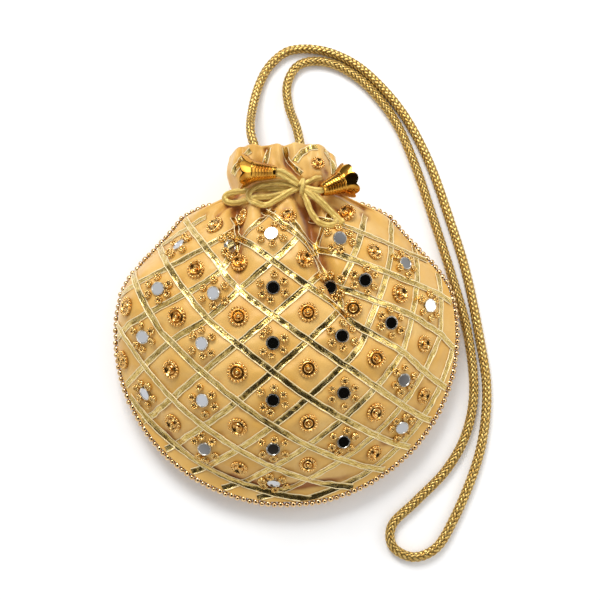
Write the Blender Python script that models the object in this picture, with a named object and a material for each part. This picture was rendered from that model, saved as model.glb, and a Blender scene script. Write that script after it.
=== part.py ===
"""A stuffed round drawstring pouch (potli) lying on its back, with a long rope handle.

The satin pouch is two panels sewn together at the rim, with a thin lining inside.
The front panel carries a diamond lattice of flat ribbon, round mirrors and raised
bosses; a string of beads edges the rim seam.  A cord in a casing round the neck
ties in a bow at the front, and a ribbed bell hangs at each end of it.

Sizes are in millimetres in the pouch's own frame: the body circle's centre lies over
the origin, the mouth points along +Y, the front faces +Z, and the back rests on z = 0.
"""

import math

import bmesh
import bpy
import numpy as np
from mathutils import Vector
from mathutils.bvhtree import BVHTree
from mathutils.kdtree import KDTree

METRE = 1000.0

# Clearances
SEAT_GAP = 0.3
EDGE_GAP = 0.5
RAISE_STEP = 0.12
RAISE_TRIES = 60
BODY_ROWS = 17
FRONT_COLUMNS = 21
BACK_COLUMNS = 11
RIBBON_PROBES = [(along, over) for along in np.linspace(0.0, 1.0, 9) for over in (0.0, 0.5, 1.0)]

# Pouch outline, seen from the front
BODY_RADIUS = 100.0
NECK_HALF_WIDTH = 31.0
RUFFLE_SWELL = 1.5
STRING_LINE_Y = 77.0
RUFFLE_HEIGHT = 26.0
SHOULDER_SLOPE_Y = (20.0, 78.0)
SHOULDER_BEND_Y = (64.0, 82.0)
SHOULDER_SLOPE_SHARE = 0.35
NECK_TO_STRING = 32.0
CROWN_TO_STRING = 37.0
BODY_TO_STRING = 17.0
TUBE_TO_STRING = 3.0

# Pouch depth
RIM_HEIGHT = 13.0
NECK_AXIS_HEIGHT = 22.0
CROWN_DEPTH = 47.0
NECK_DEPTH = 25.0
RUFFLE_PUFF = 3.0
FLAT_BACK_SHARE = 0.55
PANEL_WALL = 3.0
SEAM_EDGE = 1.5

# Gathers pressed into the front by the drawstring
RIGHT_FOLD_DEPTH = 12.0
RIGHT_FOLD_LINE = (28.0, -0.5, 0.004)
RIGHT_FOLD_REACH = (-25.0, 50.0)
LEFT_FOLD_DEPTH = 9.0
LEFT_FOLD_LINE = (-25.0, -0.04, 0.0)
LEFT_FOLD_REACH = (5.0, 50.0)
FOLD_LINE_Y = 10.0
FOLD_WIDTH = 5.0
FOLD_TO_STRING = 14.0
PLEAT_DEPTH = 1.6
PLEAT_COUNT = 11
RUFFLE_VALLEYS = (-14.0, 3.0)
RUFFLE_VALLEY_WIDTH = 3.5
RUFFLE_VALLEY_DEPTH = 5.0

# How the stuffed front meets the rim: fuller at the upper left, tucked in at the base
EDGE_POWER = 1.3
NECK_POWER = 0.5
LEFT_PUFF = 0.75
LEFT_PUFF_PLACE = (-92.0, 12.0)
LEFT_PUFF_SIZE = (42.0, 36.0)
BASE_TUCK = 0.7
BASE_TUCK_START = (200.0, 225.0)
BASE_TUCK_END = (285.0, 305.0)
BASE_TUCK_SHARE = (0.86, 0.93)

# Neck: lining tube, casing channel and mouth
LINING_HALF_WIDTH = 19.5
LINING_HALF_DEPTH = 9.5
LINING_WALL = 0.9
MOUTH_FLARE = 5.0
CASING_WIDTH = 5.0
LINING_SHARE = 0.88
LINING_NECK_FROM_STRING = (27.0, 10.0)
LINING_CROWN_FROM_STRING = (50.0, 20.0)

# Ribbon lattice, measured on the front
CELL_HALF_WIDTH = 18.9
CELL_HALF_HEIGHT = 15.0
LATTICE_CENTRE_X = -6.7
LATTICE_CENTRE_Y = -13.5
LEFT_CROWDING = -0.96
RIGHT_CROWDING = 1.2
RIGHT_CLOTH_PER_ROW = 7.05
RIGHT_CLOTH_START_ROW = -1.03
LEFT_CLOTH_PER_ROW = 5.1
LEFT_CLOTH_START_ROW = 0.3
RIGHT_FOLD_COLUMN = (2.67, -0.2)
LEFT_FOLD_COLUMN = -1.72
LEFT_SIDE_RISE = 0.64
RIGHT_SIDE_RISE = 0.54
ROW_TILT = 0.97
BASE_CLOSING = 0.87
RIGHT_PULL = 3.76
LEFT_PULL = 2.17
RIBBON_WIDTH = 4.0
RIBBON_THICKNESS = 0.4
RIBBON_TOLERANCE = 0.6
RIBBON_TOP_MARGIN = 14.0
RIBBON_MARGIN = 3.5
SHORTEST_RIBBON = 30.0
DIAGONALS = {False: range(-9, 11, 2), True: range(-7, 11, 2)}
RUFFLE_RIBBONS = [
    [(-29.0, 0.5), (-25.0, 0.72), (-20.5, 0.86)],
    [(-11.5, 0.5), (-10.5, 0.7), (-9.5, 0.9)],
    [(3.5, 0.48), (0.5, 0.72), (-0.5, 0.94)],
    [(6.5, 0.66), (9.5, 0.84), (14.5, 0.94)],
    [(25.5, 0.52), (25.5, 0.7), (22.5, 0.88)],
]

# Mirrors and bosses
MIRROR_DIAMETER = 8.0
MIRROR_THICKNESS = 1.1
MIRROR_ROWS = {-4: (-2, 4), -2: (-4, 4), 0: (-6, 4), 2: (-4, 2), 4: (-4, 4), 6: (0, 2)}
BOSS_DIAMETER = 11.5
BOSS_HEIGHT = 2.4
SMALLEST_BOSS = 7.5
BOSS_ROWS = {-5: (-1, 1), -3: (-3, 5), -1: (-5, 5), 1: (-5, 5), 3: (-5, 1), 5: (-3, 5)}
BEAD_DIAMETER = 4.0
BEAD_RING_RADIUS = 7.0
BEADS_PER_MIRROR = 6
RUFFLE_BOSS_X = 17.7
RUFFLE_BOSS_SHARE = 0.52

# Bead edging on the rim seam
LARGE_EDGE_BEAD = 3.3
SMALL_EDGE_BEAD = 2.6
EDGE_BEAD_PITCH = 3.75
EDGE_BEAD_OFFSET = 0.8
EDGE_BEAD_ZIGZAG = 0.45
EDGING_TOP_Y = 70.0

# Drawstring and bells
STRING_DIAMETER = 3.3
KNOT_SIZE = (9.0, 7.0, 6.5)
KNOT_X = 8.5
STRING_STEP = 5.0
EYELET_SIZE = (11.0, 4.6)
BELL_LENGTH = 19.0
BELL_MOUTH = 20.5
BELL_THROAT = 5.6
BELL_WALL = 0.8
BELL_SCALLOPS = 8
BELL_ROOM = 1.0
STOPPER_DEPTH = 5.0
STRAND_LEAD = 4.0
STOPPER_DIAMETER = 6.6
BELL_LEFT_THROAT = np.array([-5.3, 82.5, 56.0])
BELL_LEFT_WAY = np.array([-0.996, 0.06, -0.07])
BELL_RIGHT_THROAT = np.array([19.7, 72.9, 53.5])
BELL_RIGHT_WAY = np.array([0.796, 0.423, -0.433])
FRONT_LOOP = [(0.0, 77.5), (-10.0, 75.5), (-18.0, 71.5), (-13.0, 67.5), (-4.0, 68.5), (4.0, 73.0)]
REAR_LOOP = [(-4.0, 75.0), (-18.0, 74.5), (-29.0, 73.5), (-33.0, 71.0), (-26.0, 69.5), (-14.0, 69.0),
             (-3.0, 71.0)]
RIGHT_LOOP = [(18.0, 69.5), (25.5, 61.5), (30.5, 55.0), (26.0, 54.0), (19.5, 61.0), (13.5, 71.0)]

# Rope handle: both ends lie inside the neck, the rest on the ground
ROPE_DIAMETER = 5.6
ROPE_STEP = 14.5
ROPE_ROUTE = [
    (-10.0, 72.0, 16.4), (-13.0, 88.0, 20.5), (-17.5, 104.0, 23.0), (-21.5, 119.0, 18.5),
    (-21.0, 136.0, 8.5), (-17.0, 154.0, 3.6), (-10.0, 167.0, 3.0), (2.0, 176.0, 3.0),
    (21.0, 176.0, 3.0), (40.0, 168.0, 3.0), (56.0, 154.0, 3.0), (72.0, 133.0, 3.0),
    (86.0, 104.0, 3.0), (97.0, 70.0, 3.0), (106.0, 38.0, 3.0), (112.5, 2.0, 3.0),
    (116.5, -30.0, 3.0), (114.0, -58.0, 3.0), (107.0, -82.0, 3.0), (95.0, -108.0, 3.0),
    (85.0, -123.0, 3.0), (72.0, -128.0, 3.0), (60.5, -122.0, 3.0), (60.5, -110.0, 3.0),
    (74.0, -97.0, 3.0), (92.0, -79.0, 3.0), (104.0, -58.0, 3.0), (109.0, -32.0, 3.0),
    (106.0, 2.0, 3.0), (98.5, 32.0, 3.0), (88.0, 68.0, 3.0), (77.5, 102.0, 3.0),
    (66.0, 130.0, 3.0), (50.0, 152.0, 3.0), (34.0, 164.5, 3.0), (19.0, 169.0, 3.0),
    (6.5, 166.0, 3.0), (0.0, 154.0, 3.4), (1.0, 138.0, 8.0), (6.0, 120.0, 18.0),
    (8.5, 104.0, 23.0), (9.0, 88.0, 20.0), (7.0, 72.0, 15.7),
]

SATIN = ("satin", (0.80, 0.50, 0.20, 1.0), 0.45, 0.0)
LINING_CLOTH = ("lining", (0.76, 0.55, 0.30, 1.0), 0.7, 0.0)
RIBBON_GOLD = ("ribbon", (0.83, 0.68, 0.33, 1.0), 0.25, 1.0)
GOLD = ("gold", (0.86, 0.52, 0.16, 1.0), 0.25, 1.0)
MIRROR_GLASS = ("mirror", (0.55, 0.57, 0.60, 1.0), 0.05, 1.0)
STRING_TISSUE = ("drawstring", (0.61, 0.43, 0.12, 1.0), 0.5, 0.4)
ROPE_THREAD = ("rope", (0.55, 0.38, 0.09, 1.0), 0.4, 0.8)
BRASS = ("brass", (0.80, 0.50, 0.14, 1.0), 0.15, 1.0)


def clear_scene():
    """Empty the scene that the pouch is built in."""
    for item in list(bpy.data.objects):
        bpy.data.objects.remove(item, do_unlink=True)


def make_material(finish):
    """Give a finish's material, made once."""
    name, colour, roughness, metallic = finish
    material = bpy.data.materials.get(name)
    if material is None:
        material = bpy.data.materials.new(name)
        material.use_nodes = True
        shader = material.node_tree.nodes["Principled BSDF"]
        shader.inputs["Base Color"].default_value = colour
        shader.inputs["Roughness"].default_value = roughness
        shader.inputs["Metallic"].default_value = metallic
    return material


def add_object(name, points, faces, finish, smooth_angle=40.0):
    """Add a closed mesh given in millimetres, smooth but for its sharp edges."""
    mesh = bpy.data.meshes.new(name)
    mesh.from_pydata((np.asarray(points) / METRE).tolist(), [], faces)
    mesh.validate()
    work = bmesh.new()
    work.from_mesh(mesh)
    bmesh.ops.recalc_face_normals(work, faces=work.faces)
    work.to_mesh(mesh)
    work.free()
    mesh.shade_smooth()
    mesh.set_sharp_from_angle(angle=math.radians(smooth_angle))
    mesh.materials.append(make_material(finish))
    item = bpy.data.objects.new(name, mesh)
    bpy.context.scene.collection.objects.link(item)
    return item


def as_cutter(item):
    """Hide a helper solid that only a Boolean uses."""
    item.hide_render = True
    item.display_type = "WIRE"
    return item


def add_boolean(item, operation, helper):
    """Join a helper solid to an object, or cut it away."""
    step = item.modifiers.new(helper.name, "BOOLEAN")
    step.operation = operation
    step.object = as_cutter(helper)
    step.solver = "EXACT"
    step.material_mode = "TRANSFER"
    step.use_self = operation == "UNION"


def smooth_step(start, end, value):
    """Rise from 0 to 1 between start and end with no corner at either."""
    share = np.clip((value - start) / (end - start), 0.0, 1.0)
    return share * share * (3.0 - 2.0 * share)


def logistic(value):
    """Rise from 0 to 1 around zero."""
    return 1.0 / (1.0 + np.exp(-value))


def top_y():
    """Height of the ruffle's edge."""
    return STRING_LINE_Y + RUFFLE_HEIGHT


def ruffle_arch(y):
    """Zero at the string line and at the ruffle's edge, one between them."""
    share = np.clip((y - STRING_LINE_Y) / RUFFLE_HEIGHT, 0.0, 1.0)
    return np.sin(math.pi * share)


def half_width(y):
    """Half width of the pouch: a circle that slopes in at the shoulders and bends into the neck."""
    circle = np.sqrt(np.clip(BODY_RADIUS ** 2 - np.clip(y, -BODY_RADIUS, 0.86 * BODY_RADIUS) ** 2, 0, None))
    neck = NECK_HALF_WIDTH + RUFFLE_SWELL * ruffle_arch(y)
    share = SHOULDER_SLOPE_SHARE * smooth_step(*SHOULDER_SLOPE_Y, y)
    share = share + (1.0 - SHOULDER_SLOPE_SHARE) * smooth_step(*SHOULDER_BEND_Y, y)
    return circle * (1.0 - share) + neck * share


def neck_share(y):
    """Zero on the body, one from the string line up."""
    return smooth_step(STRING_LINE_Y - NECK_TO_STRING, STRING_LINE_Y, y)


def seam_height(y):
    """Height of the rim seam above the ground."""
    return RIM_HEIGHT + (NECK_AXIS_HEIGHT - RIM_HEIGHT) * neck_share(y)


def rim_share(x, y):
    """Zero on the middle line of the pouch, one on its outline."""
    round_share = np.hypot(x, y) / BODY_RADIUS
    across = np.abs(x) / half_width(y)
    return np.clip(np.where(y < 0.0, round_share, across), 0.0, 1.0)


def fold(x, y, line, reach):
    """One fold that falls from the neck: one on its line, zero away from it and below its reach."""
    below = y - FOLD_LINE_Y
    fold_x = line[0] + line[1] * below + line[2] * below ** 2
    return smooth_step(*reach, y) * np.exp(-((x - fold_x) / FOLD_WIDTH) ** 2)


def gathers(x, y):
    """Depth of the folds that fall from the neck over the front."""
    right = RIGHT_FOLD_DEPTH * fold(x, y, RIGHT_FOLD_LINE, RIGHT_FOLD_REACH)
    left = LEFT_FOLD_DEPTH * fold(x, y, LEFT_FOLD_LINE, LEFT_FOLD_REACH)
    body = (right + left) * smooth_step(STRING_LINE_Y - TUBE_TO_STRING, STRING_LINE_Y - FOLD_TO_STRING, y)
    turn = np.arccos(np.clip(x / half_width(y), -1.0, 1.0))
    pleats = PLEAT_DEPTH * neck_share(y) * (1.0 + np.cos(PLEAT_COUNT * turn))
    valleys = sum(np.exp(-((x - middle) / RUFFLE_VALLEY_WIDTH) ** 2) for middle in RUFFLE_VALLEYS)
    return body + pleats + RUFFLE_VALLEY_DEPTH * ruffle_arch(y) * valleys


def front_rise(x, y):
    """Height of the front over the rim seam."""
    share = rim_share(x, y)
    neck = neck_share(y)
    from_puff = [(x - LEFT_PUFF_PLACE[0]) / LEFT_PUFF_SIZE[0], (y - LEFT_PUFF_PLACE[1]) / LEFT_PUFF_SIZE[1]]
    left_puff = np.exp(-from_puff[0] ** 2 - from_puff[1] ** 2)
    edge_power = (EDGE_POWER - LEFT_PUFF * left_puff) * (1.0 - neck) + NECK_POWER * neck
    near_string = smooth_step(STRING_LINE_Y - CROWN_TO_STRING, STRING_LINE_Y, y)
    crown = CROWN_DEPTH + (NECK_DEPTH - CROWN_DEPTH) * near_string
    dome = (crown + RUFFLE_PUFF * ruffle_arch(y)) * np.maximum(1.0 - share ** (3.0 - neck), 0.0) ** edge_power
    angle = np.degrees(np.arctan2(y, x)) % 360.0
    at_base = smooth_step(*BASE_TUCK_START, angle) * (1.0 - smooth_step(*BASE_TUCK_END, angle))
    dome = dome * (1.0 - BASE_TUCK * at_base * smooth_step(*BASE_TUCK_SHARE, share))
    edge_fade = np.clip((1.0 - share) / 0.12, 0.0, 1.0)
    return np.maximum(dome - gathers(x, y) * edge_fade, 0.0)


def back_drop(x, y):
    """Depth of the back under the rim seam: flat where it rests, rounded up to the rim."""
    share = rim_share(x, y)
    neck = neck_share(y)
    rounding = np.clip((share - FLAT_BACK_SHARE) / (1.0 - FLAT_BACK_SHARE), 0.0, 1.0)
    body = 1.0 - rounding ** 2
    tube = np.sqrt(np.clip(1.0 - share ** 2, 0.0, 1.0))
    return (seam_height(y) - SEAT_GAP / 2 - SEAM_EDGE) * (body * (1.0 - neck) + tube * neck)


def front_point(x, y):
    """Point of the front's outer face over a plan point."""
    x = np.asarray(x, dtype=float)
    y = np.asarray(y, dtype=float)
    height = seam_height(y) + SEAT_GAP / 2 + SEAM_EDGE + front_rise(x, y)
    return np.stack([x, y, height], axis=-1)


def front_frame(x, y):
    """Point and outward normal of the front's outer face."""
    step = 0.6
    point = front_point(x, y)
    along_x = front_point(x + step, y) - front_point(x - step, y)
    along_y = front_point(x, y + step) - front_point(x, y - step)
    normal = np.cross(along_x, along_y)
    return point, normal / np.linalg.norm(normal, axis=-1, keepdims=True)


def lining_half_size(y):
    """Half width and half depth of the lining's outer face in the neck."""
    flare = MOUTH_FLARE * np.clip((y - STRING_LINE_Y) / RUFFLE_HEIGHT, 0.0, 1.0)
    return LINING_HALF_WIDTH + LINING_WALL + flare, LINING_HALF_DEPTH + LINING_WALL + 0.6 * flare


def casing_room(y):
    """Room between lining and panels: the string's casing, closed above and below it."""
    channel = np.exp(-((y - STRING_LINE_Y) / CASING_WIDTH) ** 4)
    return SEAT_GAP + (STRING_DIAMETER + 2.0 * EDGE_GAP) * channel


def section_rows(body_count):
    """Rows across the pouch, closer together at the base and round the casing."""
    last = math.acos(-(STRING_LINE_Y - BODY_TO_STRING) / BODY_RADIUS)
    body = -BODY_RADIUS * np.cos(np.linspace(math.radians(5.0), last, body_count))
    casing = STRING_LINE_Y + CASING_WIDTH * np.array([-2.2, -1.2, -0.6, 0.6, 1.2])
    ruffle = STRING_LINE_Y + RUFFLE_HEIGHT * np.array([0.4, 0.7, 1.0])
    return np.concatenate([body, casing, ruffle])


def panel_grids(rows, columns, front):
    """Outer and inner faces of one panel, each a grid of rows by columns."""
    spread = np.sin(np.linspace(-math.pi / 2, math.pi / 2, columns))
    y = np.repeat(rows[:, None], columns, axis=1)
    u = np.repeat(spread[None, :], len(rows), axis=0)
    x = u * half_width(y)
    side = 1.0 if front else -1.0
    rise = front_rise(x, y) if front else back_drop(x, y)
    seam = seam_height(y) + side * SEAT_GAP / 2
    outer = np.stack([x, y, seam + side * (SEAM_EDGE + rise)], axis=-1)

    share = smooth_step(STRING_LINE_Y - BODY_TO_STRING, STRING_LINE_Y - TUBE_TO_STRING, y)
    tube_width, tube_depth = lining_half_size(y)
    room = casing_room(y)
    body_width = half_width(y) * (1.0 - PANEL_WALL / BODY_RADIUS)
    width = body_width * (1.0 - share) + (tube_width + room) * share
    deepest = CROWN_DEPTH if front else RIM_HEIGHT
    body_rise = rise * (1.0 - PANEL_WALL / deepest)
    tube_rise = (tube_depth + room) * np.sqrt(np.clip(1.0 - u ** 2, 0.0, 1.0))
    rise_in = body_rise * (1.0 - share) + tube_rise * share
    y_in = np.where(y < 0.0, y * (1.0 - PANEL_WALL / BODY_RADIUS), y)
    inner = np.stack([u * width, y_in, seam + side * rise_in], axis=-1)
    return outer, inner


def closed_sheet(outer, inner):
    """Points and faces of a sheet with two faces and a wall all round."""
    rows, columns = outer.shape[:2]
    points = np.concatenate([outer.reshape(-1, 3), inner.reshape(-1, 3)])
    index = np.arange(rows * columns).reshape(rows, columns)
    under = index + rows * columns
    faces = []
    for r in range(rows - 1):
        for c in range(columns - 1):
            quad = [index[r, c], index[r, c + 1], index[r + 1, c + 1], index[r + 1, c]]
            faces.append(quad)
            faces.append([under[r, c], under[r + 1, c], under[r + 1, c + 1], under[r, c + 1]])
    border = list(index[0, :]) + list(index[1:, -1]) + list(index[-1, -2::-1]) + list(index[-2:0:-1, 0])
    for here, there in zip(border, border[1:] + border[:1]):
        faces.append([here, here + rows * columns, there + rows * columns, there])
    return points, [[int(i) for i in face] for face in faces]


def loft_rings(rings, close_ends=True):
    """Points and faces of rings joined in order, with a fan over each end."""
    rings = np.asarray(rings)
    count, sides = rings.shape[:2]
    points = list(rings.reshape(-1, 3))
    faces = []
    for r in range(count - 1):
        for s in range(sides):
            t = (s + 1) % sides
            faces.append([r * sides + s, r * sides + t, (r + 1) * sides + t, (r + 1) * sides + s])
    if close_ends:
        for start in (0, (count - 1) * sides):
            centre = len(points)
            points.append(rings.reshape(-1, 3)[start:start + sides].mean(axis=0))
            for s in range(sides):
                faces.append([start + s, start + (s + 1) % sides, centre])
    return np.asarray(points), faces


def path_frames(path):
    """Tangent and two cross directions at each point of a path, turning as little as can be."""
    path = np.asarray(path, dtype=float)
    tangents = np.gradient(path, axis=0)
    tangents /= np.linalg.norm(tangents, axis=1, keepdims=True)
    start = np.array([0.0, 0.0, 1.0]) if abs(tangents[0][2]) < 0.9 else np.array([1.0, 0.0, 0.0])
    across = []
    for tangent in tangents:
        start = start - tangent * np.dot(start, tangent)
        start = start / np.linalg.norm(start)
        across.append(start)
    across = np.asarray(across)
    return tangents, across, np.cross(tangents, across)


def tube_rings(path, radii, sides, phase=0.0):
    """Rings of a round tube along a path."""
    _, first, second = path_frames(path)
    angles = phase + np.arange(sides) * 2.0 * math.pi / sides
    radii = np.broadcast_to(np.asarray(radii, dtype=float), (len(path),))
    turns = angles[None, :, None]
    spokes = np.cos(turns) * first[:, None, :] + np.sin(turns) * second[:, None, :]
    return np.asarray(path)[:, None, :] + spokes * radii[:, None, None]


def smooth_path(points, step):
    """Even points along a smooth curve through the given ones."""
    points = np.asarray(points, dtype=float)
    ends = np.vstack([2 * points[0] - points[1], points, 2 * points[-1] - points[-2]])
    share = np.linspace(0.0, 1.0, 13)[:-1, None]
    pieces = []
    for a, b, c, d in zip(ends[:-3], ends[1:-2], ends[2:-1], ends[3:]):
        curve = 2 * b + (c - a) * share + (2 * a - 5 * b + 4 * c - d) * share ** 2
        pieces.append(0.5 * (curve + (3 * b - a - 3 * c + d) * share ** 3))
    dense = np.vstack(pieces + [points[-1:]])
    reach = np.concatenate([[0.0], np.cumsum(np.linalg.norm(np.diff(dense, axis=0), axis=1))])
    count = max(2, int(round(reach[-1] / step)) + 1)
    places = np.linspace(0.0, reach[-1], count)
    return np.stack([np.interp(places, reach, dense[:, i]) for i in range(3)], axis=-1)


def lattice_point(column, row):
    """Plan place of a lattice position: even rows and columns, crowded where the cloth gathers.

    The cells narrow towards both sides, the rows rise towards the sides and close up at the
    base, and the two folds under the neck each take up cloth, more the higher the row.
    """
    column = np.asarray(column, dtype=float)
    row = np.asarray(row, dtype=float)
    per_cell = np.where(column < 0, LEFT_CROWDING, RIGHT_CROWDING)
    crowding = per_cell * np.maximum(np.abs(column) - 2.0, 0.0) ** 2
    right_cloth = RIGHT_CLOTH_PER_ROW * np.maximum(row - RIGHT_CLOTH_START_ROW, 0.0)
    left_cloth = LEFT_CLOTH_PER_ROW * np.maximum(row - LEFT_CLOTH_START_ROW, 0.0)
    right_spread = np.maximum(0.3, right_cloth / (3.6 * CELL_HALF_WIDTH))
    left_spread = np.maximum(0.3, left_cloth / (3.6 * CELL_HALF_WIDTH))
    past_right = logistic((column - RIGHT_FOLD_COLUMN[0] - RIGHT_FOLD_COLUMN[1] * row) / right_spread)
    past_left = logistic((LEFT_FOLD_COLUMN - column) / left_spread)
    gathered = left_cloth * past_left - right_cloth * past_right
    x = LATTICE_CENTRE_X + CELL_HALF_WIDTH * column - crowding + gathered
    side_rise = np.where(column < 0, LEFT_SIDE_RISE, RIGHT_SIDE_RISE) * column ** 2 + ROW_TILT * column
    base_closing = BASE_CLOSING * np.maximum(-row - 1.5, 0.0) ** 2
    pull = np.maximum(row, 0.0) * (RIGHT_PULL * past_right + LEFT_PULL * past_left)
    y = LATTICE_CENTRE_Y + CELL_HALF_HEIGHT * row + base_closing + side_rise - pull
    return x, y


def clear_of_rim(x, y, margin):
    """Whether plan places lie on the front and at least a margin away from the rim seam."""
    beside = half_width(y) - np.abs(x) > margin
    return beside & (np.hypot(x, np.minimum(y, 0.0)) < BODY_RADIUS - margin)


def layout_cells(rows_by_column):
    """Number, column and row of the cells that hold one kind of motif and have room for it."""
    cells = [(c, r) for c, (first, last) in rows_by_column.items() for r in range(first, last + 1, 2)]
    return [(number, c, r) for number, (c, r) in enumerate(cells, 1)
            if clear_of_rim(*lattice_point(c, r), BOSS_DIAMETER / 2)]


def tangent_axes(normal):
    """Two directions along the cloth at a normal."""
    across = np.cross([0.0, 1.0, 0.0], normal)
    across /= np.linalg.norm(across)
    return across, np.cross(normal, across)


def turned_solid(centre, normal, profile, sides):
    """A turned solid standing on a point, from (radius, height) pairs."""
    across, along = tangent_axes(normal)
    angles = np.arange(sides) * 2.0 * math.pi / sides
    spokes = np.cos(angles)[:, None] * across + np.sin(angles)[:, None] * along
    rings = [centre + radius * spokes + height * normal for radius, height in profile]
    return loft_rings(rings)


def merge_solids(solids):
    """Points and faces of several solids in one list."""
    points = []
    faces = []
    for solid_points, solid_faces in solids:
        start = len(points)
        points.extend(solid_points)
        faces.extend([[int(i) + start for i in face] for face in solid_faces])
    return np.asarray(points), faces


def seat_on(tree, x, y):
    """Point on the finished cloth under a plan place, and the cloth's outward normal there."""
    _, normal = front_frame(x, y)
    place, _, _, _ = tree.ray_cast(Vector((x, y, 2.0 * BODY_RADIUS)), Vector((0.0, 0.0, -1.0)))
    return np.array(place), normal


def boss_solid(tree, ribbons, place):
    """A raised boss with a dished middle, standing in the cloth, smaller where ribbons crowd it."""
    point, normal = seat_on(tree, *place)
    room = ribbons.find(Vector(front_point(*place)))[2] - RIBBON_WIDTH / 2 - EDGE_GAP
    radius = min(BOSS_DIAMETER / 2, max(room, SMALLEST_BOSS / 2))
    sides = 8
    rim, _ = turned_solid(point, normal, [(0.8 * radius, BOSS_HEIGHT)], sides)
    lift = max(0.0, SEAT_GAP - min(clearance(tree, spot) for spot in rim[:sides]))
    top = BOSS_HEIGHT + lift
    points, faces = turned_solid(point, normal, [(radius, -1.9), (0.8 * radius, top)], sides)
    points[-2] = point - normal * 1.9
    points[-1] = point + normal * (top - 0.4 * BOSS_HEIGHT)
    return points, faces


def bead_solid(tree, place):
    """One small bead, half sunk in the cloth."""
    point, normal = seat_on(tree, *place)
    radius = BEAD_DIAMETER / 2
    points, faces = turned_solid(point, normal, [(1.1 * radius, -0.6)], 4)
    points[-2] = point - normal * 1.5
    points[-1] = point + normal * 1.8 * radius
    return points, faces


def cluster_places(column, row):
    """Plan places of the beads round a mirror."""
    x, y = lattice_point(column, row)
    point, normal = front_frame(x, y)
    across, along = tangent_axes(normal)
    turns = (np.arange(BEADS_PER_MIRROR) + 0.5) * 2.0 * math.pi / BEADS_PER_MIRROR
    spots = point + BEAD_RING_RADIUS * (np.cos(turns)[:, None] * across + np.sin(turns)[:, None] * along)
    return [(spot[0], spot[1]) for spot in spots]


def build_front_panel():
    """Front satin panel with its bosses and beads sewn on, and the string's eyelet."""
    points, faces = closed_sheet(*panel_grids(section_rows(BODY_ROWS), FRONT_COLUMNS, True))
    panel = add_object("front_panel", points, faces, SATIN, 60.0)
    panel.modifiers.new("flat_faces", "TRIANGULATE")
    tree = surface_tree([panel])
    ribbons = ribbon_tree()
    solids = [boss_solid(tree, ribbons, lattice_point(c, r)) for _, c, r in layout_cells(BOSS_ROWS)]
    on_ruffle = (RUFFLE_BOSS_X, STRING_LINE_Y + RUFFLE_BOSS_SHARE * RUFFLE_HEIGHT)
    solids.append(boss_solid(tree, ribbons, on_ruffle))
    room = RIBBON_WIDTH / 2 + BEAD_DIAMETER / 2 + SEAT_GAP
    for _, column, row in layout_cells(MIRROR_ROWS):
        for place in cluster_places(column, row):
            on_front = clear_of_rim(*place, BEAD_DIAMETER / 2)
            if on_front and ribbons.find(Vector(front_point(*place)))[2] > room:
                solids.append(bead_solid(tree, place))
    points, faces = merge_solids(solids)
    add_boolean(panel, "UNION", add_object("embroidery", points, faces, GOLD))
    across = [(0.5 * EYELET_SIZE[0] * math.cos(t), 0.5 * EYELET_SIZE[1] * math.sin(t))
              for t in np.arange(12) * math.pi / 6]
    base = seam_height(STRING_LINE_Y) + SEAM_EDGE
    rings = [[(KNOT_X + dx, STRING_LINE_Y + dy, z) for dx, dy in across] for z in (base, base + 40.0)]
    points, faces = loft_rings(rings)
    add_boolean(panel, "DIFFERENCE", add_object("eyelet_cutter", points, faces, SATIN))
    return panel


def build_back_panel():
    """Plain satin back, flat where the pouch lies on it."""
    points, faces = closed_sheet(*panel_grids(section_rows(BODY_ROWS), BACK_COLUMNS, False))
    return add_object("back_panel", points, faces, SATIN, 60.0)


def lining_ring(y, inside):
    """One ring of the lining at a height."""
    sides = 12
    angles = np.arange(sides) * 2.0 * math.pi / sides
    below, above = LINING_NECK_FROM_STRING
    share = smooth_step(STRING_LINE_Y - below, STRING_LINE_Y - above, y)
    wall = LINING_WALL if inside else 0.0
    tube_width, tube_depth = lining_half_size(y)
    radius = LINING_SHARE * BODY_RADIUS
    circle = math.sqrt(max(radius ** 2 - min(y, 0.0) ** 2, 4.0))
    body_width = min(float(half_width(y)), circle) * LINING_SHARE
    width = body_width * (1.0 - share) + tube_width * share - wall
    fall = 1.0 - (min(y, 0.0) / radius) ** 2
    below, above = LINING_CROWN_FROM_STRING
    near_neck = smooth_step(STRING_LINE_Y - below, STRING_LINE_Y - above, y)
    crown = CROWN_DEPTH + (NECK_DEPTH - CROWN_DEPTH) * near_neck
    up = max(0.68 * crown * fall, 3.0 * LINING_WALL) * (1.0 - share) + tube_depth * share - wall
    down = max(0.6 * RIM_HEIGHT * fall, 3.0 * LINING_WALL) * (1.0 - share) + tube_depth * share - wall
    sine = np.sin(angles)
    lift = sine * np.where(sine > 0, up, down)
    return np.stack([width * np.cos(angles), np.full(sides, y), seam_height(y) + lift], axis=-1)


def build_lining():
    """Thin lining bag inside the panels, open at the mouth."""
    bottom = -0.94 * LINING_SHARE * BODY_RADIUS
    body = np.linspace(bottom, STRING_LINE_Y - LINING_NECK_FROM_STRING[1], 8)
    rows = np.concatenate([body, np.linspace(STRING_LINE_Y, top_y(), 4)])
    outer = [lining_ring(y, False) for y in rows]
    inner = [lining_ring(y, True) for y in rows[::-1]]
    inner[-1] = inner[-1] + np.array([0.0, 2.0 * LINING_WALL, 0.0])
    points, faces = loft_rings(outer + inner)
    return add_object("lining", points, faces, LINING_CLOTH, 60.0)


def surface_tree(items):
    """Search tree over the finished faces of some objects, in millimetres."""
    bpy.context.view_layer.update()
    graph = bpy.context.evaluated_depsgraph_get()
    points = []
    faces = []
    for item in items:
        mesh = item.evaluated_get(graph).to_mesh()
        start = len(points)
        points.extend(item.matrix_world @ vertex.co * METRE for vertex in mesh.vertices)
        faces.extend([start + i for i in face.vertices] for face in mesh.polygons)
    return BVHTree.FromPolygons(points, faces)


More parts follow.
